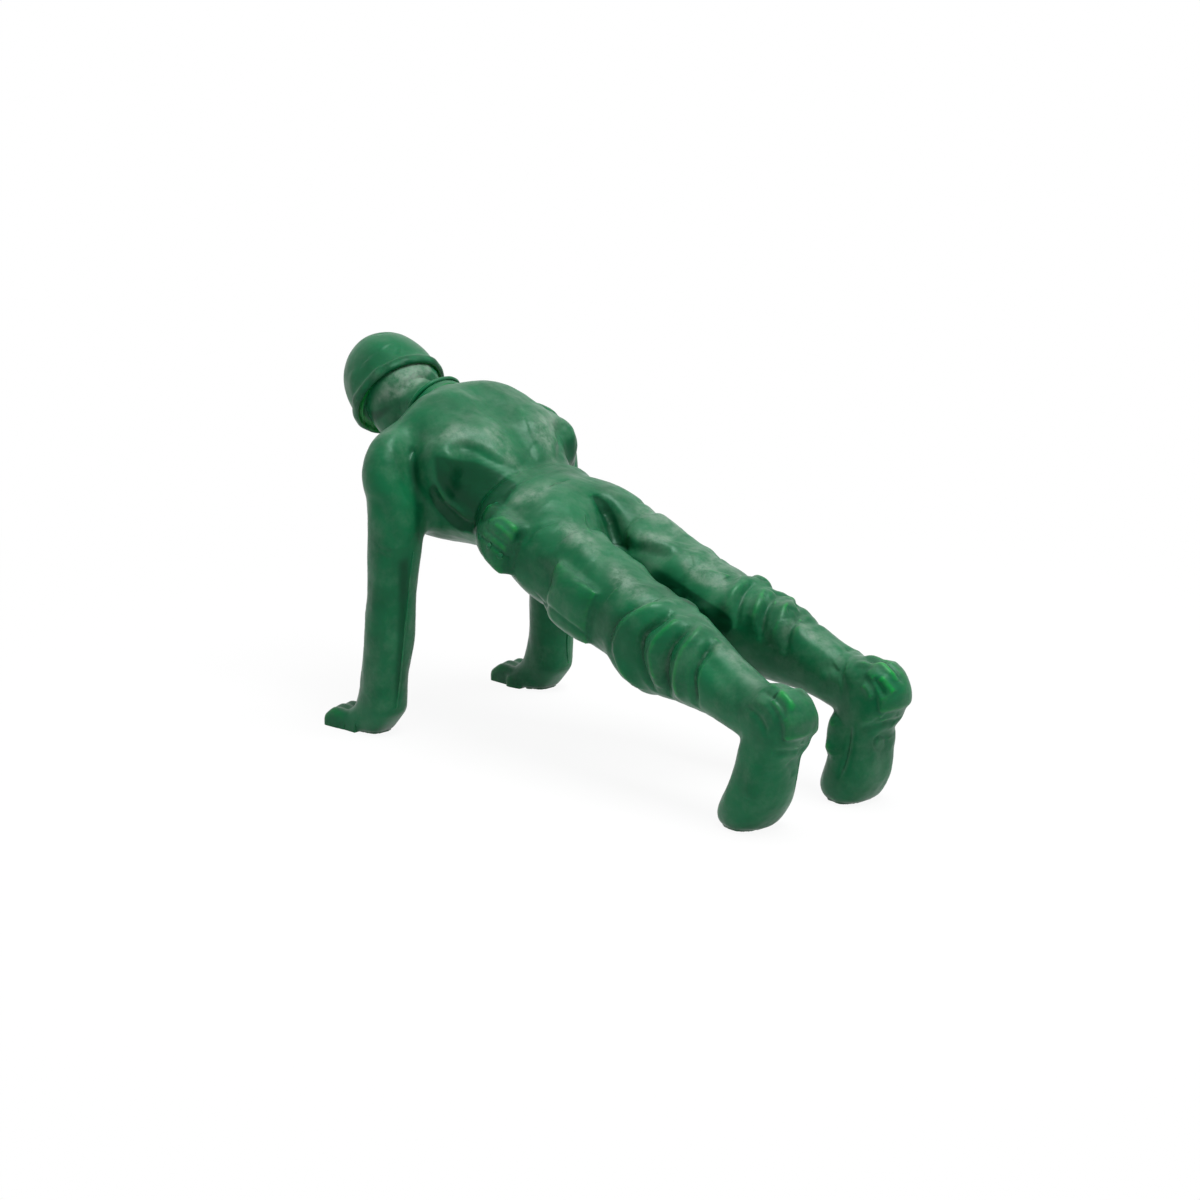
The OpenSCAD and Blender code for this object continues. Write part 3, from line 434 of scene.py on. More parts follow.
def carve(skin, normals, tree, kind, width, height, path):
    """Pushes the skin out or in along a path of points that lie on it. All but a ring fade at both ends."""
    path = resampled(path)
    snapped = [tree.find_nearest(Vector(q)) for q in path]
    path = np.array([s[0] for s in snapped])
    out = np.array([s[1] for s in snapped])
    for _ in range(4):
        out[1:-1] = (out[:-2] + out[1:-1] * 2 + out[2:]) / 4
    out, way = units(out), units(np.gradient(path, axis=0))
    left = np.cross(out, way)
    reach = width * CARVE_REACH
    near = np.where(((skin.v > path.min(0) - reach) & (skin.v < path.max(0) + reach)).all(1))[0]
    if not len(near):
        return
    for part in np.array_split(near, max(1, len(near) * len(path) // BATCH + 1)):
        d = skin.v[part][:, None, :] - path[None]
        k = (d ** 2).sum(2).argmin(1)
        d = d[np.arange(len(part)), k]
        over = (d * way[k]).sum(1)
        end = np.where((k == 0) | (k == len(path) - 1), np.abs(over), 0)
        d = d - way[k] * over[:, None]
        dist = np.sqrt((d ** 2).sum(1) + end ** 2)
        side = np.sign((d * left[k]).sum(1))
        arch = np.sin(np.pi * k / (len(path) - 1))
        taper = 1.0 if kind == "ring" else np.clip(arch * END_GAIN, 0, 1) ** END_POWER
        facing = rising((normals[part] * out[k]).sum(1), *TURNED)
        push = height * profile(kind, side * dist / width) * taper * facing
        skin.v[part] += normals[part] * push[:, None]


# Pixels between the points of a line and of an outline, once they are rounded
LINE_STEP, OUTLINE_STEP = 3.0, 4.0


def carve_lines(skin, lines, strength, own=None):
    """Carves picture lines, and their twins on the other side of the body where a line asks for one.
    Only the faces of the own points are seen, so a line never falls on what stands behind."""
    tree, normals = skin.tree(), skin.normals()
    look = tree if own is None else skin.tree(own)
    for kind, width, height, both, pixels in lines:
        path = seen(look, resampled(pixels, LINE_STEP))
        if len(path) < 3:
            continue
        carve(skin, normals, tree, kind, width, height * strength, path)
        if both:
            twin = path * [1, -1, 1]
            carve(skin, normals, tree, kind, width, height * strength * both, twin[::-1])


# Paint reaches only this far behind the nearest point of its field, and fades out over this, in millimetres
PAINT_DEPTH, PAINT_FADE = 12.0, 2


def line_distance(q, line):
    """Distance of points q to a polyline, in a plane."""
    best = np.full(len(q), 1e9)
    for a, b in zip(line[:-1], line[1:]):
        ab = b - a
        k = np.clip(((q - a) @ ab) / max(float(ab @ ab), 1e-9), 0, 1)
        best = np.minimum(best, np.linalg.norm(q - a - k[:, None] * ab, axis=1))
    return best


def inside(q, outline):
    """Which points q lie inside a closed outline."""
    hit = np.zeros(len(q), bool)
    for (x0, y0), (x1, y1) in zip(outline, np.roll(outline, -1, axis=0)):
        cross = (y0 > q[:, 1]) != (y1 > q[:, 1])
        at = x0 + (q[:, 1] - y0) * (x1 - x0) / (y1 - y0 if y1 != y0 else 1e-9)
        hit ^= cross & (q[:, 0] < at)
    return hit


def field_weight(skin, normals, index, twin, sharp, soft, first, second):
    """Points of a field drawn in the picture, and how much it acts on each."""
    right, up, ahead = eye_axes()
    outline = np.vstack([first, second])
    closing = np.vstack([first[-1:], second, first[:1]])
    q = skin.v[index] * [1, twin, 1] - EYE
    n = normals[index] * [1, twin, 1]
    z = q @ ahead
    image = np.stack([IMAGE / 2 + FOCAL * (q @ right) / z, IMAGE / 2 - FOCAL * (q @ up) / z], 1)
    facing = rising(-(n * q).sum(1) / np.linalg.norm(q, axis=1), *UNSEEN)
    part = np.where(inside(image, outline) & (facing > 0))[0]
    scale = FOCAL / z[part]
    a = np.clip(line_distance(image[part], first) / scale / sharp, 0, 1)
    b = np.clip(line_distance(image[part], closing) / scale / soft, 0, 1)
    return index[part], ease(a) * ease(b) * facing[part]


# How often the edge of the carved region is averaged, so that a field fades out before it
OWN_FADE = 16


def carve_fields(skin, fields, strength, own):
    """Raises or lowers outlined fields of the skin, and their twins on the other side."""
    normals = skin.normals()
    inner = np.clip(2 * skin.averaged(own.astype(float), OWN_FADE) - 1, 0, 1)
    for sharp, soft, height, both, first, second in fields:
        for twin in ((1, -1) if both else (1,)):
            part, w = field_weight(skin, normals, np.where(own)[0], twin, sharp, soft,
                                   resampled(first, OUTLINE_STEP), resampled(second, OUTLINE_STEP))
            skin.v[part] += normals[part] * (height * strength * w * inner[part])[:, None]


# How often the painted light and dust are averaged, the dust and painted highlight of what faces up, and the
# painted shade of what faces down
LIGHT_AND_DUST_FADE = 5
TOP_DUST_AND_SHEEN, UNDERSIDE_SHADE = 0.30, 0.35


def painted(skin):
    """Painted light and dust of each point: dust and a painted highlight on what faces up, painted shade on
    what faces down, and the painted fields.
    """
    normals = skin.normals()
    # faces that look up get dust and a painted highlight, faces that look down get painted shade
    tone = TOP_DUST_AND_SHEEN * np.clip(normals[:, 2], 0, 1) ** 2 - UNDERSIDE_SHADE * np.clip(-normals[:, 2], 0, 1)
    for amount, soft, both, outline in LIGHT_AND_DUST_FIELDS:
        loop = resampled(outline + outline[:1], OUTLINE_STEP)
        for twin in ((1, -1) if both else (1,)):
            part, w = field_weight(skin, normals, np.arange(len(skin.v)), twin, soft, soft, loop, loop[:1])
            if not len(part):
                continue
            far = (skin.v[part] * [1, twin, 1] - EYE) @ eye_axes()[2]
            w = w * np.clip((far.min() + PAINT_DEPTH - far) / PAINT_FADE, 0, 1)
            tone[part] += amount * w * (both if twin < 0 else 1)
    return skin.averaged(tone, LIGHT_AND_DUST_FADE)


SKIN_NODES = ["head", "neck", "torso", "waistband", "trouser_seat"] + [
    side + "_" + part for side in ("left", "right")
    for part in ("upper_arm", "forearm", "hand", "thigh", "knee_gathers", "trouser_leg", "boot")]

# How far a pad rises again after the skin was smoothed, in millimetres
PAD_RISE = {"hip_pouch": 0.80, "left_thigh_pocket": 0.36, "right_thigh_pocket": 0.36}
# Pads that are raised from the skin, and the node under each
PADS = {"hip_pouch": "trouser_seat", "left_thigh_pocket": "left_thigh", "right_thigh_pocket": "right_thigh",
        "left_boot_heel": "left_boot", "right_boot_heel": "right_boot"}
ALL_NODES = SKIN_NODES + list(PADS)

# What is made once and used by several pieces: the carved skin, its parting planes and the pads' faces
store = {}


def sizes():
    return bpy.context.scene.figure_sizes


def colours():
    return bpy.context.scene.figure_colours


def cad_points(node):
    """Corners of a CAD solid, in millimetres."""
    return np.array([v.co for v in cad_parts[node].data.vertices]) * 1000


def new_object(name, data):
    """A new object in the scene."""
    ob = bpy.data.objects.new(name, data)
    bpy.context.scene.collection.objects.link(ob)
    return ob


def add(tree, kind, inputs=(), **settings):
    """A new node. Each input is given as a value, as another node's output, or as a node, which stands
    for its first output."""
    node = tree.nodes.new(kind)
    for key, value in settings.items():
        setattr(node, key, value)
    for key, value in dict(inputs).items():
        if isinstance(value, bpy.types.Node):
            value = value.outputs[0]
        if isinstance(value, bpy.types.NodeSocket):
            tree.links.new(value, node.inputs[key])
        else:
            node.inputs[key].default_value = value
    return node


def calculated(tree, operation, a, b):
    """A node that works out one value from two."""
    return add(tree, "ShaderNodeMath", {0: a, 1: b}, operation=operation)


def product(tree, a, b):
    return calculated(tree, "MULTIPLY", a, b)


# Solids closer than this touch, in millimetres
TOUCHING = 0.02


def merged(names, sink=None, fills=()):
    """The CAD solids of some nodes in millimetres, each with its doubles merged, as one mesh. What lies
    against the node named in sink is sunk into it, and the fills are added."""
    bm = bmesh.new()
    for name in names:
        before = len(bm.verts)
        bm.from_mesh(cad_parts[name].data)
        bm.verts.ensure_lookup_table()
        bmesh.ops.remove_doubles(bm, verts=bm.verts[before:], dist=1e-6)
    bmesh.ops.scale(bm, vec=(1000, 1000, 1000), verts=bm.verts)
    if sink:
        host = bmesh.new()
        host.from_mesh(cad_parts[sink[0]].data)
        bmesh.ops.scale(host, vec=(1000, 1000, 1000), verts=host.verts)
        tree = BVHTree.FromBMesh(host)
        for v in bm.verts:
            _, normal, _, far = tree.find_nearest(v.co)
            if far < TOUCHING:
                v.co -= normal * sink[1]
        host.free()
    for kind, centre, size in fills:
        if kind == "ball":
            added = bmesh.ops.create_icosphere(bm, subdivisions=3, radius=0.5)["verts"]
        else:
            added = bmesh.ops.create_cube(bm, size=1.0)["verts"]
        bmesh.ops.scale(bm, vec=size, verts=added)
        bmesh.ops.translate(bm, vec=centre, verts=added)
    mesh = bpy.data.meshes.new("raw")
    bm.to_mesh(mesh)
    bm.free()
    return mesh


def voxel_skin(mesh, grain):
    """One closed skin of even facets round a mesh, which is used up."""
    ob = new_object("raw", mesh)
    mod = ob.modifiers.new("skin", "REMESH")
    mod.mode = "VOXEL"
    mod.voxel_size = grain
    mod.adaptivity = 0
    done = bpy.data.meshes.new_from_object(ob.evaluated_get(bpy.context.evaluated_depsgraph_get()))
    v = np.zeros(len(done.vertices) * 3)
    done.vertices.foreach_get("co", v)
    f = np.zeros(len(done.loops), np.int32)
    done.loops.foreach_get("vertex_index", f)
    if len(f) != 4 * len(done.polygons):
        raise RuntimeError("the remeshed skin is not all quads")
    skin = Skin(v.reshape(-1, 3), f.reshape(-1, 4))
    bpy.data.objects.remove(ob)
    bpy.data.meshes.remove(done)
    bpy.data.meshes.remove(mesh)
    return skin


def flats(name):
    """Flat faces of a CAD node: outward normal, distance, area and centre of each, in millimetres."""
    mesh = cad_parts[name].data
    found = {}
    for p in mesh.polygons:
        n, c = np.array(p.normal), np.array(p.center) * 1000
        key = tuple(np.round(n, 3)) + (round(float(n @ c), 2),)
        area = p.area * 1e6
        row = found.setdefault(key, [np.zeros(3), 0.0, 0.0, np.zeros(3)])
        row[0] += n * area
        row[1] += float(n @ c) * area
        row[2] += area
        row[3] += c * area
    return [(r[0] / r[2], r[1] / r[2], r[2], r[3] / r[2]) for r in found.values() if r[2] > 1.5]


# Faces of neighbours meet when their middles are closer than this, in millimetres
NEIGHBOUR_REACH = 8


def same_plane(na, da, nb, db):
    return np.abs(na - nb).max() < 4e-3 and abs(da - db) < 0.03


def parting_planes():
    """For each node of the skin, the planes on which it meets its neighbours."""
    table = {node: flats(node) for node in SKIN_NODES}
    out = {node: [] for node in SKIN_NODES}
    for a, b in permutations(SKIN_NODES, 2):
        for (na, da, _, ca), (nb, db, _, cb) in pairs(table[a], table[b]):
            meet = same_plane(na, da, -nb, -db) and np.linalg.norm(ca - cb) < NEIGHBOUR_REACH
            if meet and not any(same_plane(na, da, *q) for q in out[a]):
                out[a].append((na, da))
    return out


def head_frame():
    """Middle of the helmet's seat and the head's axes: up, to its left side and to its front."""
    n, _, _, c = max(flats("helmet"), key=lambda r: r[2])
    up = -n / np.linalg.norm(n)
    side = np.cross([0, 0, 1], up)
    side /= np.linalg.norm(side)
    front = np.cross(side, up)
    if front[2] > 0:
        side, front = -side, -front
    if side[1] < 0:
        side = -side
    return c, up, side, front


# Face, plain and calm: kind, half width, height, and points as shares of the face's length:
# to the figure's left and down from the rim. Every line but those on the middle has a twin.
FACE_LINES = [
    ("ridge", 0.30, 0.16, 1, [(0.06, 0.17), (0.16, 0.12), (0.30, 0.13), (0.42, 0.19)]),
    ("groove", 0.34, 0.16, 1, [(0.14, 0.26), (0.24, 0.25), (0.34, 0.27)]),
    ("ridge", 0.24, 0.16, 1, [(0.19, 0.285), (0.25, 0.28), (0.31, 0.29)]),
    ("crease", 0.12, 0.09, 1, [(0.14, 0.285), (0.20, 0.255), (0.28, 0.255), (0.35, 0.29)]),
    ("crease", 0.12, 0.07, 1, [(0.15, 0.30), (0.22, 0.325), (0.29, 0.325), (0.35, 0.30)]),
    ("ridge", 0.26, 0.20, 0, [(0.0, 0.20), (0.0, 0.32), (0.0, 0.44), (0.0, 0.50)]),
    ("ridge", 0.20, 0.14, 1, [(0.08, 0.49), (0.10, 0.52), (0.07, 0.54)]),
    ("crease", 0.14, 0.10, 1, [(0.13, 0.47), (0.15, 0.52), (0.20, 0.60)]),
    ("crease", 0.13, 0.16, 0, [(-0.19, 0.722), (-0.08, 0.716), (0.0, 0.722), (0.08, 0.716), (0.19, 0.722)]),
    ("ridge", 0.16, 0.09, 0, [(-0.14, 0.685), (0.0, 0.672), (0.14, 0.685)]),
    ("ridge", 0.17, 0.11, 0, [(-0.12, 0.765), (0.0, 0.775), (0.12, 0.765)]),
    ("groove", 0.20, 0.08, 0, [(-0.10, 0.83), (0.0, 0.835), (0.10, 0.83)]),
    ("ridge", 0.34, 0.14, 0, [(-0.10, 0.92), (0.0, 0.93), (0.10, 0.92)]),
    ("ridge", 0.40, 0.12, 1, [(0.34, 0.42), (0.42, 0.46), (0.46, 0.56)]),
]
# Length of the face below the rim, and how far ahead of it a line starts, in millimetres
FACE_LENGTH, FACE_CLEAR = 5.4, 12


def carve_face(skin, strength):
    """Carves the face with lines that are laid on it from straight ahead."""
    tree, normals = skin.tree(), skin.normals()
    mid, up, side, front = head_frame()
    for kind, width, height, both, places in FACE_LINES:
        for twin in ((1, -1) if both else (1,)):
            path = []
            for s, down in resampled(places, 0.03):
                start = mid + side * s * twin * FACE_LENGTH - up * down * FACE_LENGTH + front * FACE_CLEAR
                hit = tree.ray_cast(Vector(start), Vector(-front))[0]
                if hit is not None:
                    path.append(np.array(hit))
            if len(path) > 2:
                carve(skin, normals, tree, kind, width, height * strength, path[::twin])


# Added relief of a pad, which gives it a painted highlight of bright green, and how often its outline is
# averaged
PAD_PAINTED_HIGHLIGHT, PAD_FADE = 0.02, 7
# Depth of the seat under a pad, in millimetres, and the angle from which an edge shows sharp
PAD_SEAT = 0.5
SHARP = math.radians(50)
# Blocks and balls, middle and size in millimetres, that close the slits between the arms and the flanks
ARMPIT_FILLS = [fill for side in (1, -1) for fill in (
    ("block", (17.6, side * 8.75, 26.0), (5.6, 1.6, 7.5)),
    ("ball", (13.4, side * 8.5, 29.0), (6.6, 3.8, 7.4)))]
# Rounds of smoothing that turn facets into round limbs, and the share of it that the face takes
LIMB_SMOOTHING, FACE_SHARE = 46, 0.25
# Joints that melt further: middle, reach and rounds of smoothing, at both armpits and the root of the neck
MELTED_JOINTS = [((17.4, 8.6, 24.0), 3.6, 90), ((17.4, -8.6, 24.0), 3.6, 90), ((22.6, 0.0, 29.5), 3.2, 60)]
# The flanks draw in this far outside the arm's section, over this distance, in millimetres. Points that
# lie further outside the plane than the slack belong to the arm.
FLANK_START, FLANK_RAMP, PLANE_SLACK = 0.25, 0.8, 0.15
# Half width of the smoothed band at the root of the arms, its soft edge, and how far it lies outside the
# shoulder planes
SHOULDER_BAND, SHOULDER_EDGE, BAND_OUT = 3.2, 1.4, 0.3
# Where that band begins, upward and forward, and over what distance
BAND_LOW, BAND_REAR = (20.2, 2.2), (9.5, 2.5)
# Rounds of smoothing for the band, first with its bumps kept and then without, and for the crease below
SHOULDER_SMOOTHING, SHOULDER_ROUNDING, CREASE_SMOOTHING = 320, 90, 80
# Size of the places along the crease between arm and flank that are smoothed once more, in millimetres,
# and those places
CREASE_SIZE = 1.5
SHOULDER_CREASE = [(16.8, 9.4, 31.2), (16.2, 9.6, 30.0), (15.4, 10.0, 28.4), (14.8, 10.1, 26.8),
                   (14.4, 10.2, 25.2)]
# How often the knees' solid rings are smoothed before their folds are carved
KNEE_SMOOTHING = 110
# How far the back of the head is filled out under the helmet, how far down that goes, and how far round
HEAD_FILL, HEAD_FILL_DEPTH, HEAD_BACK = 0.9, 2.6, 0.55
# The part of the head above this height from the rim's plane is left as it is
CROWN = -0.35
# How far forward the wrists lie, and the fingers, which rest on the floor all along
WRIST, FINGERS_FROM = 19.5, 20.6
# What lies lower than this stays on the floor
ON_FLOOR = 0.08
# Sizes, seeds and shares of the soft lumps, from coarse to fine. Hands and face take only a share of
# them, and the finer ones are stronger on face and neck.
BODY_LUMPS = [(3.4, 3, 1.0), (1.4, 5, 0.45), (0.7, 9, 0.16)]
FINE_SHARE, NECK_ROUGH = 0.3, 2.2


def part_of(names, *kinds):
    """Which points belong to some kinds of node, on either side."""
    return np.isin(names, [side + kind for kind in kinds for side in ("", "left_", "right_")])


def nearest_nodes(points):
    """For each point the number of the node whose solid lies nearest."""
    corners, faces, owner = [], [], []
    for k, node in enumerate(ALL_NODES):
        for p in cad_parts[node].data.polygons:
            faces.append([len(corners) + i for i in p.vertices])
            owner.append(k)
        corners.extend(cad_points(node).tolist())
    cad = BVHTree.FromPolygons(corners, faces)
    return np.array([owner[cad.find_nearest(Vector(q))[2]] for q in points])


def melt_limbs(skin, hands, face):
    """Turns facets into round limbs, while fingers and face keep their form, and fills out the back of
    the head so that it meets the helmet's rim."""
    mid, up, _, front = head_frame()
    low = (skin.v - mid) @ up
    crown = face & (low > CROWN)
    fingers = np.clip(1.15 - (skin.v[:, 0] - WRIST) * 0.25, 0.5, 1)
    weight = np.where(hands, fingers, np.where(face, FACE_SHARE, 1.0))
    weight[crown] = 0.0
    for turn in range(6):
        soft = skin.mean(weight)
        weight = np.minimum(weight, soft * 0.7 + weight * 0.3) if turn < 2 else soft
        weight[crown] = 0.0
    skin.smooth(LIMB_SMOOTHING, weight)
    q = skin.v - mid
    radial = q - np.outer(q @ up, up)
    behind = np.clip(HEAD_BACK - units(radial) @ front, 0, 1)
    fill = np.where(face, HEAD_FILL * behind * np.clip(1 + low / HEAD_FILL_DEPTH, 0, 1), 0)
    skin.v += units(radial) * np.minimum(fill, HEAD_FILL)[:, None]


def tuck_flanks(skin, trunk, half, relief):
    """Draws the chest's free sides inside the shoulder planes, which lie half a chest out."""
    for node, sign in (("left_upper_arm", 1), ("right_upper_arm", -1)):
        c = next(r for r in flats(node) if abs(r[0][1]) > 0.9)[3][[0, 2]]
        ring = cad_points(node)
        ring = ring[np.abs(np.abs(ring[:, 1]) - half) < 0.01][:, [0, 2]] - c
        d = skin.v[:, [0, 2]] - c
        turn, reach = np.arctan2(ring[:, 1], ring[:, 0]), np.linalg.norm(ring, axis=1)
        order = np.argsort(turn)
        turn = np.concatenate([turn[order] + k * 2 * math.pi for k in (-1, 0, 1)])
        edge = np.interp(np.arctan2(d[:, 1], d[:, 0]), turn, np.tile(reach[order], 3))
        free = rising(np.linalg.norm(d, axis=1) - edge, FLANK_START, FLANK_RAMP)
        limit = half - relief * free
        beyond = skin.v[:, 1] * sign
        out = trunk & (free > 0) & (beyond > limit) & (beyond < half + PLANE_SLACK)
        skin.v[out, 1] = sign * limit[out]
    skin.smooth(4, np.where(trunk, 1.0, 0))


def melt_shoulders(skin, names, half):
    """Lets the shoulders flow into the back and the chest."""
    off = np.abs(np.abs(skin.v[:, 1]) - half - BAND_OUT)
    band = np.clip((SHOULDER_BAND - off) / SHOULDER_EDGE, 0, 1)
    band *= rising(skin.v[:, 2], *BAND_LOW) * rising(skin.v[:, 0], *BAND_REAR)
    band *= part_of(names, "torso", "upper_arm")
    skin.smooth(SHOULDER_SMOOTHING, band, 0.15)
    skin.smooth(SHOULDER_ROUNDING, band)
    for centre in SHOULDER_CREASE:
        for sign in (1, -1):
            far = np.linalg.norm(skin.v - np.array(centre) * [1, sign, 1], axis=1)
            skin.smooth(CREASE_SMOOTHING, np.clip(1.6 - far / CREASE_SIZE, 0, 1), 0.3)


def raise_pads(skin, names):
    """Lifts the pouch and the pockets again, which the smoothing has sunk."""
    for pad, rise in PAD_RISE.items():
        own = names == pad
        outward = skin.normals()[own].mean(0)
        share = ease(skin.averaged(own.astype(float), 12))
        skin.v += np.outer(rise * share, outward / np.linalg.norm(outward))


def carve_body(skin, names, strength):
    """Carves the muscles, folds, straps, flaps and the face."""
    rump = part_of(names, "waistband", "trouser_seat", "thigh", "hip_pouch", "thigh_pocket")
    carve_fields(skin, BACK_FIELDS, strength, part_of(names, "torso", "neck"))
    carve_fields(skin, SEAT_FIELDS, strength, rump)
    for lines, own in (
            (BACK_LINES, part_of(names, "torso", "neck", "upper_arm")),
            (ARM_LINES, part_of(names, "upper_arm", "forearm")),
            (SEAT_LINES, rump | part_of(names, "torso")),
            (KNEE_LINES, part_of(names, "knee_gathers", "thigh", "trouser_leg")),
            (SHIN_LINES, part_of(names, "trouser_leg", "knee_gathers")),
            (BOOT_LINES, part_of(names, "boot", "trouser_leg", "boot_heel")),
            (POUCH_LINES, part_of(names, "hip_pouch")),
            (POCKET_LINES, part_of(names, "thigh_pocket"))):
        carve_lines(skin, lines, strength, own)
    carve_face(skin, strength)


def sculpted():
    """The whole carved skin with each point's node, relief, and painted light and dust, made once."""
    if "skin" in store:
        return store["skin"]
    s = sizes()
    skin = voxel_skin(merged(ALL_NODES, fills=ARMPIT_FILLS), s.grain / MM)
    label = nearest_nodes(skin.v)
    names = np.array(ALL_NODES)[label]
    hands, face = part_of(names, "hand"), names == "head"
    under = hands & (skin.v[:, 0] > FINGERS_FROM) & (skin.normals()[:, 2] < -0.1)
    skin.v[under, 2] = 0
    on_floor = skin.v[:, 2] < ON_FLOOR
    melt_limbs(skin, hands, face)
    for centre, radius, times in MELTED_JOINTS:
        d = np.linalg.norm(skin.v - centre, axis=1)
        skin.smooth(times, np.where(face, 0, np.clip(1.6 - d / radius * 1.6, 0, 1)))
    store["planes"] = planes = parting_planes()
    half = max(abs(q[1]) for q in planes["torso"] if abs(q[0][1]) > 0.9)
    tuck_flanks(skin, names == "torso", half, s.side_relief / MM)
    melt_shoulders(skin, names, half)
    skin.smooth(KNEE_SMOOTHING, skin.averaged(part_of(names, "knee_gathers").astype(float), 8))
    raise_pads(skin, names)
    carve_body(skin, names, s.relief)
    skin.smooth(2, np.where(face | hands, FINE_SHARE, 0.7))
    bumpy = np.where(hands | face, FINE_SHARE, 1.0) * (s.lump / MM)
    rough = np.where(face | (names == "neck"), NECK_ROUGH, 1.0)
    height = sum(lumps(skin.v, size, seed) * bumpy * share * (rough if share < 1 else 1)
                 for size, seed, share in BODY_LUMPS)
    skin.v += skin.normals() * height[:, None]
    skin.v[:, 2] = np.maximum(skin.v[:, 2], 0)
    skin.v[on_floor, 2] = 0
    if not np.isfinite(skin.v).all():
        raise RuntimeError("the carved skin has lost points")
    store["skin"] = part_pads(skin, label, skin.relief(), painted(skin))
    return store["skin"]


def loops_of(faces):
    """Closed loops of the directed edges that the faces use only one way."""
    n = faces.shape[1]
    edges = {(int(a), int(b)) for i in range(n) for a, b in zip(faces[:, i], faces[:, (i + 1) % n])}
    after = {}
    for a, b in edges:
        if (b, a) not in edges:
            after.setdefault(a, []).append(b)
    loops = []
    while after:
        start = next(iter(after))
        loop, here = [start], after[start].pop()
        while here != start:
            loop.append(here)
            here = after[here].pop()
        after = {a: b for a, b in after.items() if b}
        loops.append(loop)
    return loops


def part_pads(skin, label, relief, tone):
    """Frees each pad from the skin. The pad gets a back, and the skin a seat under the pad. A triangle
    is kept as a quad that names its last point twice."""
    points, faces = skin.v, skin.f
    for pad, host in PADS.items():
        share = skin.averaged((label[:len(skin.v)] == ALL_NODES.index(pad)).astype(float), PAD_FADE)
        # painted highlight: the pad's relief is raised so that the material paints it bright green
        relief[:len(share)] += PAD_PAINTED_HIGHLIGHT * ease(share)
        mask = skin.spread(np.arange(len(share)) == np.argmax(share), share > 0.5)
        wide = np.concatenate([mask, np.zeros(len(points) - len(mask), bool)])
        taken = wide[faces].all(1)
        top, faces = faces[taken], faces[~taken]
        inward = -skin.normals()[mask].mean(0)
        inward *= PAD_SEAT / np.linalg.norm(inward)
        walls, backs, seats, caps = [], [], [], []
        for loop in loops_of(top):
            base = len(points)
            ring = points[loop] + inward
            points = np.vstack([points, ring, ring.mean(0)[None]])
            centre = base + len(loop)
            for i in range(len(loop)):
                j = (i + 1) % len(loop)
                a, b, c, d = loop[i], loop[j], base + i, base + j
                walls.append([b, a, c, d])
                backs.append([d, c, centre, centre])
                seats.append([a, b, d, c])
                caps.append([c, d, centre, centre])
            added = np.zeros(len(loop) + 1)
            label = np.append(label, np.full(len(added), ALL_NODES.index(host)))
            relief, tone = np.append(relief, added), np.append(tone, added)
        store[pad] = np.array(top.tolist() + walls + backs)
        faces = np.array(faces.tolist() + seats + caps)
    return Skin(points, faces), label, relief, tone


def new_piece(name, bm):
    """A mesh object at the origin from a bmesh in millimetres."""
    bmesh.ops.scale(bm, vec=(MM, MM, MM), verts=bm.verts)
    mesh = bpy.data.meshes.new(name)
    bm.to_mesh(mesh)
    bm.free()
    mesh.materials.append(plastic_material())
    return new_object(name, mesh)


def finish_piece(ob, *nodes):
    """A piece that stands in for CAD nodes."""
    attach(ob, "root")
    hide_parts(*nodes)
    return ob


def legs_middle():
    """The upright plane half way between the legs: its normal, to the right side, and its distance."""
    ends = []
    for part in ("thigh", "boot"):
        tops = []
        for side in ("left_", "right_"):
            _, _, _, c = max(flats(side + part), key=lambda r: float(r[0][0]) * r[2])
            tops.append(c)
        ends.append((tops[0] + tops[1]) / 2)
    along = ends[1] - ends[0]
    n = np.array([-along[1], along[0], 0.0])
    n /= np.linalg.norm(n)
    if n[1] > 0:
        n = -n
    return n, float(n @ ends[0])


def skin_bmesh(points, faces, relief, tone):
    """A smooth bmesh of quads, with its relief and its painted light and dust. A triangle names its last
    point twice.
    """
    mesh = bpy.data.meshes.new("cut")
    mesh.from_pydata(points.tolist(), [], [q[:3] if q[2] == q[3] else q for q in faces.tolist()])
    for key, value in (("relief", relief), ("tone", tone)):
        mesh.attributes.new(key, "FLOAT", "POINT").data.foreach_set("value", value.astype(np.float32))
    bm = bmesh.new()
    bm.from_mesh(mesh)
    bpy.data.meshes.remove(mesh)
    for face in bm.faces:
        face.smooth = True
    return bm


def patch(skin, faces):
    """A bmesh of some faces of the carved skin, with sharp edges kept sharp."""
    _, _, relief, tone = store["skin"]
    used = np.unique(faces)
    where = np.full(len(skin.v), -1)
    where[used] = np.arange(len(used))
    bm = skin_bmesh(skin.v[used], where[faces], relief[used], tone[used])
    for e in bm.edges:
        if len(e.link_faces) == 2 and e.calc_face_angle() > SHARP:
            e.smooth = False
    return bm


def raised_piece(node):
    """A pad freed from the carved skin."""
    skin = sculpted()[0]
    return finish_piece(new_piece(node, patch(skin, store[node])), node)


# A loose part of a cut piece with fewer points than this is a crumb
CRUMB = 150


def close_cut(bm, n, d):
    """Closes the rims that a cut left on a plane with flat triangles that face along its normal."""
    rim = [e for e in bm.edges if e.is_boundary and all(abs(v.co.dot(n) - d) < 1e-3 for v in e.verts)]
    if not rim:
        return
    filled = bmesh.ops.triangle_fill(bm, edges=rim, use_beauty=False, normal=n)["geom"]
    made = [f for f in filled if isinstance(f, bmesh.types.BMFace)]
    for face in made:
        face.normal_update()
        if face.normal.dot(n) < 0:
            face.normal_flip()
        face.smooth = False
        for e in face.edges:
            e.smooth = False


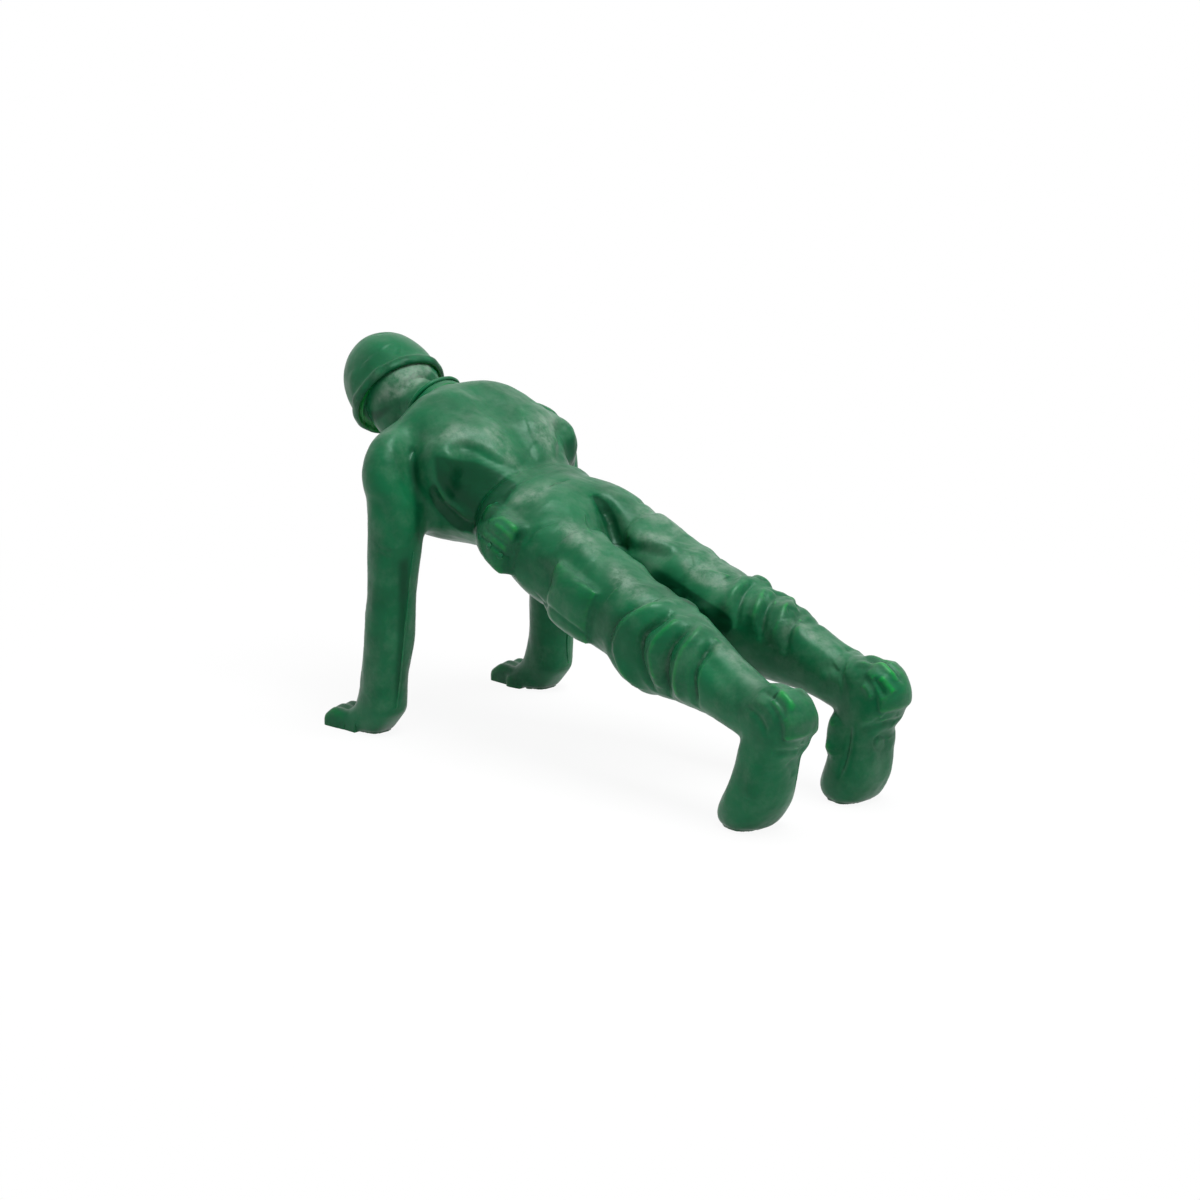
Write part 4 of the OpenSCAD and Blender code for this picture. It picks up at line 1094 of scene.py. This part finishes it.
def drop_crumbs(bm):
    """Removes small loose bits that a cut has left."""
    seen_verts, crumbs = set(), []
    for v in bm.verts:
        if v in seen_verts:
            continue
        group, stack = [], [v]
        seen_verts.add(v)
        while stack:
            w = stack.pop()
            group.append(w)
            for e in w.link_edges:
                o = e.other_vert(w)
                if o not in seen_verts:
                    seen_verts.add(o)
                    stack.append(o)
        if len(group) < CRUMB:
            crumbs.extend(group)
    bmesh.ops.delete(bm, geom=crumbs, context="VERTS")


# How far past its planes a piece is gathered before it is cut, in millimetres
CUT_MARGIN = 0.45
# Small shifts of a cut, in millimetres, tried in turn until the rim it leaves is simple
CUT_NUDGES = (0.0, 0.001, -0.001, 0.002, -0.002)


def cut_piece(node):
    """The part of the carved skin that belongs to a node, cut on its parting planes and closed."""
    skin, label, _, _ = sculpted()
    planes = [(n / np.linalg.norm(n), d) for n, d in store["planes"][node]]
    own = label == ALL_NODES.index(node)
    if node == "head":
        _, up, _, _ = head_frame()
        planes = [q for q in planes if abs(q[0] @ up) < 0.999]
    parted = []
    if node.endswith("_thigh"):
        # both thighs are cut from the skin as one, then parted down the middle
        sign = 1 if node.startswith("left") else -1
        n, d = legs_middle()
        parted.append((n * sign, d * sign))
        own = np.isin(label, [ALL_NODES.index("left_thigh"), ALL_NODES.index("right_thigh")])
    allowed = np.ones(len(skin.v), bool)
    for n, d in planes:
        allowed &= skin.v @ n < d + CUT_MARGIN
    faces = skin.f[skin.spread(own & allowed, allowed)[skin.f].any(1)]
    for nudge in CUT_NUDGES:
        bm = patch(skin, faces)
        for n, d in planes + parted:
            bmesh.ops.bisect_plane(bm, geom=bm.verts[:] + bm.edges[:] + bm.faces[:], dist=1e-5,
                                   plane_co=Vector(n * (d + nudge)), plane_no=Vector(n), clear_outer=True)
            close_cut(bm, Vector(n), d + nudge)
        drop_crumbs(bm)
        if all(e.is_manifold for e in bm.edges):
            break
    if any(len(e.link_faces) % 2 for e in bm.edges):
        raise RuntimeError("the cut piece %s is not closed" % node)
    return finish_piece(new_piece(node, bm), node)


# How often the collar is smoothed, and how far it grows back after that, in millimetres
COLLAR_SMOOTHING, COLLAR_SWELL = 5, 0.05


def build_collar():
    """The collar, rooted in the neck, with its rolled edge."""
    s = sizes()
    skin = voxel_skin(merged(["collar"], ("neck", s.pad_sink / MM)), s.pad_grain / MM)
    skin.smooth(COLLAR_SMOOTHING)
    skin.v += skin.normals() * COLLAR_SWELL
    skin.v += skin.normals() * (lumps(skin.v, 2.2, 11) * s.lump / MM * 0.5)[:, None]
    bm = skin_bmesh(skin.v, skin.f, skin.relief(), painted(skin))
    bmesh.ops.recalc_face_normals(bm, faces=bm.faces)
    finish_piece(new_piece("collar", bm), "collar")
    bead_piece("collar_roll", collar_edge(), s.collar_roll, 0.12 * MM)


# Bowl of the helmet from its lip to the crown: share of the rim's half width, and rise as a share of the
# height. The first rows run inside, from the head to the lip.
HELMET_ROWS = [
    (0.68, -0.004), (0.78, -0.006), (0.850, -0.012), (0.885, -0.026), (0.912, -0.050), (0.945, -0.064),
    (0.975, -0.058), (0.998, -0.034), (1.007, 0.000), (1.004, 0.034), (0.990, 0.062), (0.968, 0.080),
    (0.950, 0.098), (0.940, 0.130), (0.934, 0.180), (0.928, 0.240), (0.913, 0.320), (0.888, 0.405),
    (0.853, 0.492), (0.804, 0.580), (0.740, 0.665), (0.660, 0.745), (0.565, 0.820), (0.455, 0.885),
    (0.330, 0.940), (0.200, 0.978), (0.080, 0.996), (0.000, 1.000),
]
HELMET_LINES = [
    ("groove", 0.9, 0.14, 0, [(366, 360), (372, 366), (380, 368)]),
    ("ridge", 0.8, 0.12, 0, [(384, 346), (392, 350), (400, 352)]),
    ("crease", 0.25, 0.12, 0, [(369, 398), (363, 407), (363, 416), (364, 424)]),
    ("ridge", 0.3, 0.08, 0, [(373, 334), (384, 331), (394, 334)]),
    ("groove", 0.7, 0.10, 0, [(352, 370), (352, 386), (356, 400)]),
]
# Points round the helmet, distance between its rings, and its least share of width, at the crown
HELMET_ROUND, HELMET_STEP, LEAST_SHARE = 224, 0.018, 0.004
# Height of the rim's waves, and place, width and painted light of the lip under it, a brightness that stands
# in for light through the thin rim
RIM_RISE, LIP, LIP_WIDTH, LIP_PAINTED_LIGHT = 0.06, 0.88, 0.07, 0.25
# Waves of the bowl and of its rim: height, how many go round, and where they start
BOWL_WAVES = [(0.006, 3, 1.0), (0.004, 5, 0.0)]
RIM_WAVES = [(0.006, 9, 2.0), (0.005, 17, 0.0)]


def build_helmet():
    """The helmet's uneven bowl with its rolled rim, hollow under the lip."""
    mid, up, side, front = head_frame()
    pts = cad_points("helmet") - mid
    half_w, half_d, height = np.abs(pts @ side).max(), np.abs(pts @ front).max(), (pts @ up).max()
    rows = resampled(HELMET_ROWS, HELMET_STEP)
    a = np.linspace(0, 2 * math.pi, HELMET_ROUND, endpoint=False)
    bowl, edge = (sum(h * np.sin(n * a + start) for h, n, start in waves)
                  for waves in (BOWL_WAVES, RIM_WAVES))
    points = []
    for share, rise in rows[:-1]:
        k = max(share, LEAST_SHARE) * (1 + bowl + math.exp(-(rise / RIM_RISE) ** 2) * edge)
        points.extend(mid + np.outer(np.cos(a) * half_w * k, side) + np.outer(np.sin(a) * half_d * k, front)
                      + up * rise * height)
    points += [mid + up * height, mid + up * rows[0][1] * height]
    m, last = len(rows) - 1, len(points)
    quads = [[k * HELMET_ROUND + i, k * HELMET_ROUND + (i + 1) % HELMET_ROUND,
              (k + 1) * HELMET_ROUND + (i + 1) % HELMET_ROUND, (k + 1) * HELMET_ROUND + i]
             for k in range(m - 1) for i in range(HELMET_ROUND)]
    skin = Skin(points, quads)
    carve_lines(skin, HELMET_LINES, sizes().relief)
    n = skin.normals()
    skin.v[:-2] += (n * (lumps(skin.v, 4.5, 21) * sizes().lump / MM)[:, None])[:-2]
    # painted light: the turned-in side of the rim is thin, and a bright green is painted on it for the light
    # that shines through
    lip = [math.exp(-((share - LIP) / LIP_WIDTH) ** 2) if rise < 0.0 else 0 for share, rise in rows[:-1]]
    lip = np.repeat(lip, HELMET_ROUND)
    relief = np.nan_to_num(skin.relief(20)) + LIP_PAINTED_LIGHT * np.append(lip, [0, 0])
    top = (m - 1) * HELMET_ROUND
    for i in range(HELMET_ROUND):
        j = (i + 1) % HELMET_ROUND
        quads += [[last - 1, j, i, i], [last - 2, top + i, top + j, top + j]]
    bm = skin_bmesh(skin.v, np.array(quads), relief, np.zeros(last))
    bmesh.ops.recalc_face_normals(bm, faces=bm.faces)
    return finish_piece(new_piece("helmet", bm), "helmet")


def new_tree(name, sockets):
    """A new geometry tree with its inputs, as name, kind and unit."""
    tree = bpy.data.node_groups.new(name, "GeometryNodeTree")
    for label, kind, subtype in sockets:
        s = tree.interface.new_socket(label, in_out="INPUT", socket_type="NodeSocket" + kind)
        if subtype:
            s.subtype = subtype
    tree.interface.new_socket("Geometry", in_out="OUTPUT", socket_type="NodeSocketGeometry")
    return tree, add(tree, "NodeGroupInput").outputs


def finish_tree(tree, last, enter):
    """Ends a tree in plain, smooth, painted geometry."""
    smooth = add(tree, "GeometryNodeSetShadeSmooth", {"Geometry": last})
    real = add(tree, "GeometryNodeRealizeInstances", {"Geometry": smooth})
    coat = add(tree, "GeometryNodeSetMaterial", {"Geometry": real, "Material": enter["Material"]})
    add(tree, "NodeGroupOutput", {"Geometry": coat})
    return tree


# Corners of a bead's section, and the scale of its unevenness
BEAD_ROUND, BEAD_NOISE = 14, 900.0
# Facets round a stud and from its foot to its top and back
STUD_ROUND, STUD_RINGS = 20, 10


def bead_tree():
    """Round uneven bead along the edges of its mesh."""
    name = "bead along a line"
    if name in bpy.data.node_groups:
        return bpy.data.node_groups[name]
    t, enter = new_tree(name, [
        ("Line", "Geometry", None), ("Thickness", "Float", "DISTANCE"), ("Unevenness", "Float", "DISTANCE"),
        ("Step", "Float", "DISTANCE"), ("Material", "Material", None)])
    curve = add(t, "GeometryNodeMeshToCurve", {"Mesh": enter["Line"]})
    even = add(t, "GeometryNodeResampleCurve", {"Curve": curve, "Length": enter["Step"]}, mode="LENGTH")
    ring = add(t, "GeometryNodeCurvePrimitiveCircle", {
        "Resolution": BEAD_ROUND, "Radius": product(t, enter["Thickness"], 0.5)})
    tube = add(t, "GeometryNodeCurveToMesh", {"Curve": even, "Profile Curve": ring, "Fill Caps": True})
    noise = add(t, "ShaderNodeTexNoise", {"Scale": BEAD_NOISE, "Detail": 1.0})
    level = calculated(t, "SUBTRACT", noise, 0.5)
    out = add(t, "GeometryNodeInputNormal")
    much = product(t, level, enter["Unevenness"])
    push = add(t, "ShaderNodeVectorMath", {0: out, "Scale": much}, operation="SCALE")
    move = add(t, "GeometryNodeSetPosition", {"Geometry": tube, "Offset": push})
    return finish_tree(t, move, enter)


def stud_tree():
    """Domed studs on the points of its mesh, turned along their attribute out."""
    name = "studs on points"
    if name in bpy.data.node_groups:
        return bpy.data.node_groups[name]
    t, enter = new_tree(name, [
        ("Points", "Geometry", None), ("Diameter", "Float", "DISTANCE"), ("Flatness", "Float", None),
        ("Material", "Material", None)])
    ball = add(t, "GeometryNodeMeshUVSphere", {
        "Segments": STUD_ROUND, "Rings": STUD_RINGS, "Radius": product(t, enter["Diameter"], 0.5)})
    squash = add(t, "ShaderNodeCombineXYZ", {"X": 1.0, "Y": 1.0, "Z": enter["Flatness"]})
    flat = add(t, "GeometryNodeTransform", {"Geometry": ball, "Scale": squash})
    out = add(t, "GeometryNodeInputNamedAttribute", {"Name": "out"}, data_type="FLOAT_VECTOR")
    turn = add(t, "FunctionNodeAlignRotationToVector", {"Vector": out}, axis="Z")
    place = add(t, "GeometryNodeInstanceOnPoints", {
        "Points": enter["Points"], "Instance": flat, "Rotation": turn})
    return finish_tree(t, place, enter)


def grown(name, mesh, tree, values):
    """Runs a tree on a mesh and keeps the result as a plain piece."""
    ob = new_object(name, mesh)
    mod = ob.modifiers.new(tree.name, "NODES")
    mod.node_group = tree
    values = dict(values, Material=plastic_material())
    for item in tree.interface.items_tree:
        if item.in_out == "INPUT" and item.name in values:
            mod[item.identifier] = values[item.name]
    done = bpy.data.meshes.new_from_object(ob.evaluated_get(bpy.context.evaluated_depsgraph_get()))
    ob.modifiers.clear()
    ob.data = done
    bpy.data.meshes.remove(mesh)
    done.name = name
    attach(ob, "root")
    return ob


def bead_piece(name, path, thickness, unevenness, closed=True):
    """A bead along a path in millimetres."""
    n = len(path)
    mesh = bpy.data.meshes.new("line")
    edges = [(i, (i + 1) % n) for i in range(n if closed else n - 1)]
    mesh.from_pydata((np.array(path) * MM).tolist(), edges, [])
    return grown(name, mesh, bead_tree(), {"Thickness": thickness, "Unevenness": unevenness,
                                           "Step": 0.18 * MM})


# Points of the collar's roll, and how far it lies outside the collar's edge, waves and stands above it
ROLL_ROUND, ROLL_OUT, ROLL_WAVE, ROLL_UP = 96, 0.06, 0.10, 0.25


def collar_edge():
    """Ring round the neck on which the collar's edge is rolled."""
    n, d, _, _ = max(flats("collar"), key=lambda r: r[1])
    pts = cad_points("collar")
    pts = pts[np.abs(pts @ n - d) < 0.05]
    a, b = np.array([0, 1, 0.0]), np.cross(n, [0, 1, 0])
    mid = (pts.max(0) + pts.min(0)) / 2
    ang = np.arctan2((pts - mid) @ b, (pts - mid) @ a)
    far = np.hypot((pts - mid) @ b, (pts - mid) @ a)
    turn = np.linspace(-math.pi, math.pi, ROLL_ROUND, endpoint=False)
    reach = np.array([far[np.abs((ang - q + math.pi) % (2 * math.pi) - math.pi) < 0.12].max() for q in turn])
    reach += ROLL_OUT + ROLL_WAVE * np.sin(turn * 3 + 1) * 0.6
    return mid + np.outer(np.cos(turn) * reach, a) + np.outer(np.sin(turn) * reach, b) + n * ROLL_UP


# Mould seam down the inner edge of the left arm, and the pouch's studs, as the eye sees them
SEAM_LINE = [(413, 552), (410, 580), (406, 620), (402, 660), (399, 690), (396, 708)]
STUD_PLACES = [(489, 546), (500, 556)]


# Noise in the plastic, each with its scale, detail and roughness
CLOUDS, SPECKS, SMEARS = (190.0, 4.0, 0.55), (820.0, 5.0, 0.7), (240.0, 6.0, 0.7)
WEAR_AND_SHEEN, GLOSS, GRAIN = (330.0, 5.0, 0.65), (420.0, 5.0, 0.6), (1500.0, 5.0, 0.7)
# Relief in millimetres at which hollows, with their painted shade and dust, and thin edges, with their
# painted highlight, begin to show and show fully
HOLLOW_RELIEF, LIT_EDGE_RELIEF = (-0.015, -0.100), (0.025, 0.110)
# Greatest share of deep green in the random clouds, of painted shade in hollows and in the glossy dark
# painted fields, and of painted bright green on thin and raised edges
CLOUD_SHARE, HOLLOW_SHADE_SHARE, PAINTED_SHADE_SHARE, LIT_EDGE_SHARE = 0.45, 0.75, 0.85, 0.75
# Greatest share of dust in hollows and in smears
DUST_SHARE, SMEAR_SHARE = 0.2, 0.20
# Roughness of clean plastic, from and to, and what full dust adds
CLEAN_ROUGH, DUST_ROUGH = (0.31, 0.48), 0.22


def plastic_material():
    """Green plastic, deeper in random clouds, with painted shade in grooves and dark fields, a painted
    highlight on thin edges, and rubbing, dust and painted highlights where it is painted.
    """
    name = "moulded green plastic"
    if name in bpy.data.materials:
        return bpy.data.materials[name]
    mat = bpy.data.materials.new(name)
    mat.use_nodes = True
    t = mat.node_tree
    t.nodes.clear()
    place = add(t, "ShaderNodeTexCoord").outputs["Object"]

    def noise(scale, detail, rough):
        return add(t, "ShaderNodeTexNoise", {"Vector": place, "Scale": scale, "Detail": detail,
                                             "Roughness": rough})

    def ramp(source, low, high, a=0.0, b=1.0):
        return add(t, "ShaderNodeMapRange", {"Value": source, "From Min": low, "From Max": high,
                                             "To Min": a, "To Max": b}, interpolation_type="SMOOTHSTEP")

    def times(a, *others):
        for b in others:
            a = product(t, a, b)
        return a

    def plus(a, b):
        return calculated(t, "ADD", a, b)

    def mix(share, a, b):
        return add(t, "ShaderNodeMix", {0: share, 6: a, 7: b}, data_type="RGBA").outputs[2]

    relief = add(t, "ShaderNodeAttribute", attribute_name="relief").outputs["Fac"]
    tone = add(t, "ShaderNodeAttribute", attribute_name="tone").outputs["Fac"]
    c = colours()
    plain, deep_and_shade, thin_and_lit, dust_and_sheen = tuple(c.plastic), tuple(c.deep_and_shade), tuple(c.thin_and_lit), tuple(c.dust_and_sheen)
    # hollows: low relief takes painted shade, and dust among the specks
    hollow = ramp(relief, *HOLLOW_RELIEF)
    base = mix(times(ramp(noise(*CLOUDS), 0.35, 0.7), CLOUD_SHARE), plain, deep_and_shade)
    # painted shade in grooves
    base = mix(times(hollow, HOLLOW_SHADE_SHARE), base, deep_and_shade)
    # painted shade and painted dark reflection where the painted light and dust is below 0
    base = mix(times(ramp(tone, 0.0, -0.7), PAINTED_SHADE_SHARE), base, deep_and_shade)
    # painted highlight: bright green on raised and thin edges
    base = mix(times(ramp(relief, *LIT_EDGE_RELIEF), LIT_EDGE_SHARE), base, thin_and_lit)
    specks = noise(*SPECKS)
    dusty = times(hollow, ramp(specks, 0.50, 0.66))
    smears = times(ramp(noise(*SMEARS), 0.42, 0.72), ramp(tone, -0.45, 0.05), SMEAR_SHARE)
    # rubbing and dust, with a painted highlight, where the painted light and dust is above 0
    worn_and_sheen = times(ramp(tone, 0.0, 1.0), ramp(specks, 0.30, 0.64, 0.25, 1.0),
                 ramp(noise(*WEAR_AND_SHEEN), 0.36, 0.60, 0.35, 1.0))
    base = mix(plus(plus(times(dusty, DUST_SHARE), smears), worn_and_sheen), base, dust_and_sheen)
    rough = plus(ramp(noise(*GLOSS), 0.3, 0.75, *CLEAN_ROUGH), times(plus(dusty, worn_and_sheen), DUST_ROUGH))
    drawn = add(t, "ShaderNodeMapping", {"Vector": place, "Scale": (0.25, 1.0, 2.2),
                                         "Rotation": (0.3, 0.5, 0.9)})
    scratch = add(t, "ShaderNodeTexNoise", {"Vector": drawn, "Scale": 700.0, "Detail": 4.0})
    bump = add(t, "ShaderNodeBump", {
        "Strength": 0.6, "Distance": 0.035 * MM,
        "Height": plus(times(scratch, 0.5), times(noise(*GRAIN), 0.5))})
    shader = add(t, "ShaderNodeBsdfPrincipled", {"Base Color": base, "Roughness": rough, "Normal": bump})
    shader.inputs["Subsurface Weight"].default_value = 0.25
    shader.inputs["Subsurface Radius"].default_value = (0.25, 1.0, 0.4)
    shader.inputs["Subsurface Scale"].default_value = 0.7 * MM
    shader.inputs["IOR"].default_value = 1.5
    shader.inputs["Specular IOR Level"].default_value = 0.2
    shader.inputs["Specular Tint"].default_value = (0.65, 1.0, 0.85, 1.0)
    add(t, "ShaderNodeOutputMaterial", {"Surface": shader})
    return mat


# Half width of the floor in metres
STAGE_HALF = 3.0
# Soft lamp: place, what it points at, width in metres, and power in watts
LAMP_PLACE, LAMP_AIM = (-0.13, -0.02, 0.46), (0, 0, 0.02)
LAMP_WIDTH, LAMP_POWER = 0.24, 2.8
# Strength of the white surroundings as a light
SKY = 0.24
WHITE = (1, 1, 1, 1)
# Share of the floor that shows as plain white, close to the figure and away from it, and the distances
FLOOR_GLOW_NEAR, FLOOR_GLOW_FAR = 0.93, 1.0
GLOW_START, GLOW_END = 0.03, 0.12


def plain_view(tree):
    """1 for rays that look straight, by gloss or through glass at the white ground."""
    path = add(tree, "ShaderNodeLightPath").outputs
    last = path["Is Camera Ray"]
    for name in ("Is Glossy Ray", "Is Transmission Ray"):
        last = calculated(tree, "MAXIMUM", last, path[name])
    return last


def build_floor():
    """A wide white floor that shows the figure's shadow close to it and plain white further away."""
    bm = bmesh.new()
    bmesh.ops.create_grid(bm, x_segments=8, y_segments=8, size=STAGE_HALF)
    mesh = bpy.data.meshes.new("floor")
    bm.to_mesh(mesh)
    bm.free()
    new_object("floor", mesh)
    mat = bpy.data.materials.new("white floor")
    mat.use_nodes = True
    t = mat.node_tree
    t.nodes.clear()
    matt = add(t, "ShaderNodeBsdfDiffuse", {"Color": tuple(colours().floor)})
    glow = add(t, "ShaderNodeEmission", {"Color": WHITE, "Strength": 1.0})
    middle = add(t, "ShaderNodeTexCoord").outputs["Object"]
    away = add(t, "ShaderNodeVectorMath", {0: middle}, operation="LENGTH")
    fade = add(t, "ShaderNodeMapRange", {
        "Value": away.outputs["Value"], "From Min": GLOW_START, "From Max": GLOW_END,
        "To Min": FLOOR_GLOW_NEAR, "To Max": FLOOR_GLOW_FAR}, interpolation_type="SMOOTHSTEP")
    both = add(t, "ShaderNodeMixShader", {"Fac": product(t, plain_view(t), fade), 1: matt, 2: glow})
    add(t, "ShaderNodeOutputMaterial", {"Surface": both})
    mesh.materials.append(mat)


def build_stage():
    """Floor, white surroundings, one soft lamp and the photographer's eye."""
    build_floor()
    scene = bpy.context.scene
    scene.world = bpy.data.worlds.new("studio")
    scene.world.use_nodes = True
    w = scene.world.node_tree
    w.nodes.clear()
    soft, white = (add(w, "ShaderNodeBackground", {"Color": WHITE, "Strength": k}) for k in (SKY, 1.0))
    both = add(w, "ShaderNodeMixShader", {"Fac": plain_view(w), 1: soft, 2: white})
    add(w, "ShaderNodeOutputWorld", {"Surface": both})

    lamp = bpy.data.lights.new("top softbox", "AREA")
    lamp.shape = "SQUARE"
    lamp.size = LAMP_WIDTH
    lamp.energy = LAMP_POWER
    ob = new_object("top softbox", lamp)
    ob.location = LAMP_PLACE
    ob.rotation_euler = (Vector(LAMP_AIM) - Vector(LAMP_PLACE)).to_track_quat("-Z", "Y").to_euler()

    right, up, ahead = eye_axes()
    camera = bpy.data.cameras.new("eye")
    camera.lens = LENS_MM
    camera.sensor_width = SENSOR_MM
    camera.clip_start = 0.01
    camera.clip_end = 20.0
    scene.camera = new_object("eye", camera)
    m = Matrix((right, up, -ahead)).transposed().to_4x4()
    m.translation = Vector(EYE * MM)
    scene.camera.matrix_world = m
    scene.view_settings.view_transform = "Standard"


class FigureOperator:
    """What all steps share."""
    bl_options = {"REGISTER", "UNDO"}


class FIGURE_OT_trunk(FigureOperator, bpy.types.Operator):
    """Head, neck, torso, waistband and seat, cut from the carved skin"""
    bl_idname = "figure.trunk"
    bl_label = "Head and trunk"

    def execute(self, context):
        for node in ("head", "neck", "torso", "waistband", "trouser_seat"):
            cut_piece(node)
        return {"FINISHED"}


class FIGURE_OT_arms(FigureOperator, bpy.types.Operator):
    """Upper arms, forearms and hands, cut from the carved skin"""
    bl_idname = "figure.arms"
    bl_label = "Arms and hands"

    def execute(self, context):
        for side in ("left", "right"):
            for part in ("upper_arm", "forearm", "hand"):
                cut_piece(side + "_" + part)
        return {"FINISHED"}


class FIGURE_OT_legs(FigureOperator, bpy.types.Operator):
    """Thighs, knee gathers, trouser legs and boots, cut from the carved skin"""
    bl_idname = "figure.legs"
    bl_label = "Legs and boots"

    def execute(self, context):
        for side in ("left", "right"):
            for part in ("thigh", "knee_gathers", "trouser_leg", "boot"):
                cut_piece(side + "_" + part)
        return {"FINISHED"}


class FIGURE_OT_helmet(FigureOperator, bpy.types.Operator):
    """Helmet with its rolled rim"""
    bl_idname = "figure.helmet"
    bl_label = "Helmet"

    def execute(self, context):
        build_helmet()
        return {"FINISHED"}


class FIGURE_OT_collar(FigureOperator, bpy.types.Operator):
    """Collar round the root of the neck"""
    bl_idname = "figure.collar"
    bl_label = "Collar"

    def execute(self, context):
        build_collar()
        return {"FINISHED"}


class FIGURE_OT_pouch(FigureOperator, bpy.types.Operator):
    """Hip pouch"""
    bl_idname = "figure.pouch"
    bl_label = "Hip pouch"

    def execute(self, context):
        pouch = raised_piece("hip_pouch")
        tree = BVHTree.FromPolygons([v.co * 1000 for v in pouch.data.vertices],
                                    [p.vertices[:] for p in pouch.data.polygons])
        places = seen(tree, STUD_PLACES)
        mesh = bpy.data.meshes.new("points")
        mesh.from_pydata((places * MM).tolist(), [], [])
        out = np.array([tree.find_nearest(Vector(q))[1] for q in places])
        attribute = mesh.attributes.new("out", "FLOAT_VECTOR", "POINT")
        attribute.data.foreach_set("vector", out.astype(np.float32).ravel())
        grown("pouch_studs", mesh, stud_tree(), {"Diameter": sizes().stud, "Flatness": 0.6})
        return {"FINISHED"}


class FIGURE_OT_pockets(FigureOperator, bpy.types.Operator):
    """Thigh pockets"""
    bl_idname = "figure.pockets"
    bl_label = "Thigh pockets"

    def execute(self, context):
        for side in ("left", "right"):
            raised_piece(side + "_thigh_pocket")
        return {"FINISHED"}


class FIGURE_OT_heels(FigureOperator, bpy.types.Operator):
    """Heel blocks of the boots"""
    bl_idname = "figure.heels"
    bl_label = "Boot heels"

    def execute(self, context):
        for side in ("left", "right"):
            raised_piece(side + "_boot_heel")
        return {"FINISHED"}


class FIGURE_OT_seams(FigureOperator, bpy.types.Operator):
    """Beads that the mould left along the inner edges of the arms"""
    bl_idname = "figure.seams"
    bl_label = "Mould seams"

    def execute(self, context):
        skin, label, _, _ = sculpted()
        arms = np.isin(label, [SKIN_NODES.index("left_upper_arm"), SKIN_NODES.index("left_forearm")])
        path = resampled(seen(skin.tree(arms), resampled(SEAM_LINE, 6.0)), 0.3)
        bead_piece("left_arm_seam", path, sizes().seam, 0.1 * MM, False)
        bead_piece("right_arm_seam", path * [1, -1, 1], sizes().seam, 0.1 * MM, False)
        return {"FINISHED"}


class FIGURE_OT_stage(FigureOperator, bpy.types.Operator):
    """Floor, light, backdrop and camera"""
    bl_idname = "figure.stage"
    bl_label = "Stage"

    def execute(self, context):
        build_stage()
        return {"FINISHED"}


OPERATORS = (FIGURE_OT_stage, FIGURE_OT_trunk, FIGURE_OT_arms, FIGURE_OT_legs, FIGURE_OT_helmet,
             FIGURE_OT_collar, FIGURE_OT_pouch, FIGURE_OT_pockets, FIGURE_OT_heels, FIGURE_OT_seams)


class FIGURE_PT_panel(bpy.types.Panel):
    """Sizes, colours and the steps that make the figure"""
    bl_idname = "FIGURE_PT_panel"
    bl_label = "Toy soldier"
    bl_space_type = "VIEW_3D"
    bl_region_type = "UI"
    bl_category = "Figure"

    def draw(self, context):
        layout = self.layout
        for group in (context.scene.figure_sizes, context.scene.figure_colours):
            box = layout.box()
            for name in group.bl_rna.properties.keys():
                if name not in ("rna_type", "name"):
                    box.prop(group, name)
        for op in OPERATORS:
            layout.operator(op.bl_idname)


CLASSES = (FigureSizes, FigureColours) + OPERATORS + (FIGURE_PT_panel,)


def register():
    for c in CLASSES:
        bpy.utils.register_class(c)
    bpy.types.Scene.figure_sizes = bpy.props.PointerProperty(type=FigureSizes)
    bpy.types.Scene.figure_colours = bpy.props.PointerProperty(type=FigureColours)


def unregister():
    del bpy.types.Scene.figure_colours
    del bpy.types.Scene.figure_sizes
    for c in reversed(CLASSES):
        bpy.utils.unregister_class(c)


def main():
    register()
    bpy.ops.figure.stage()
    bpy.ops.figure.trunk()
    bpy.ops.figure.arms()
    bpy.ops.figure.legs()
    bpy.ops.figure.helmet()
    bpy.ops.figure.collar()
    bpy.ops.figure.pouch()
    bpy.ops.figure.pockets()
    bpy.ops.figure.heels()
    bpy.ops.figure.seams()


if __name__ == "__main__":
    main()
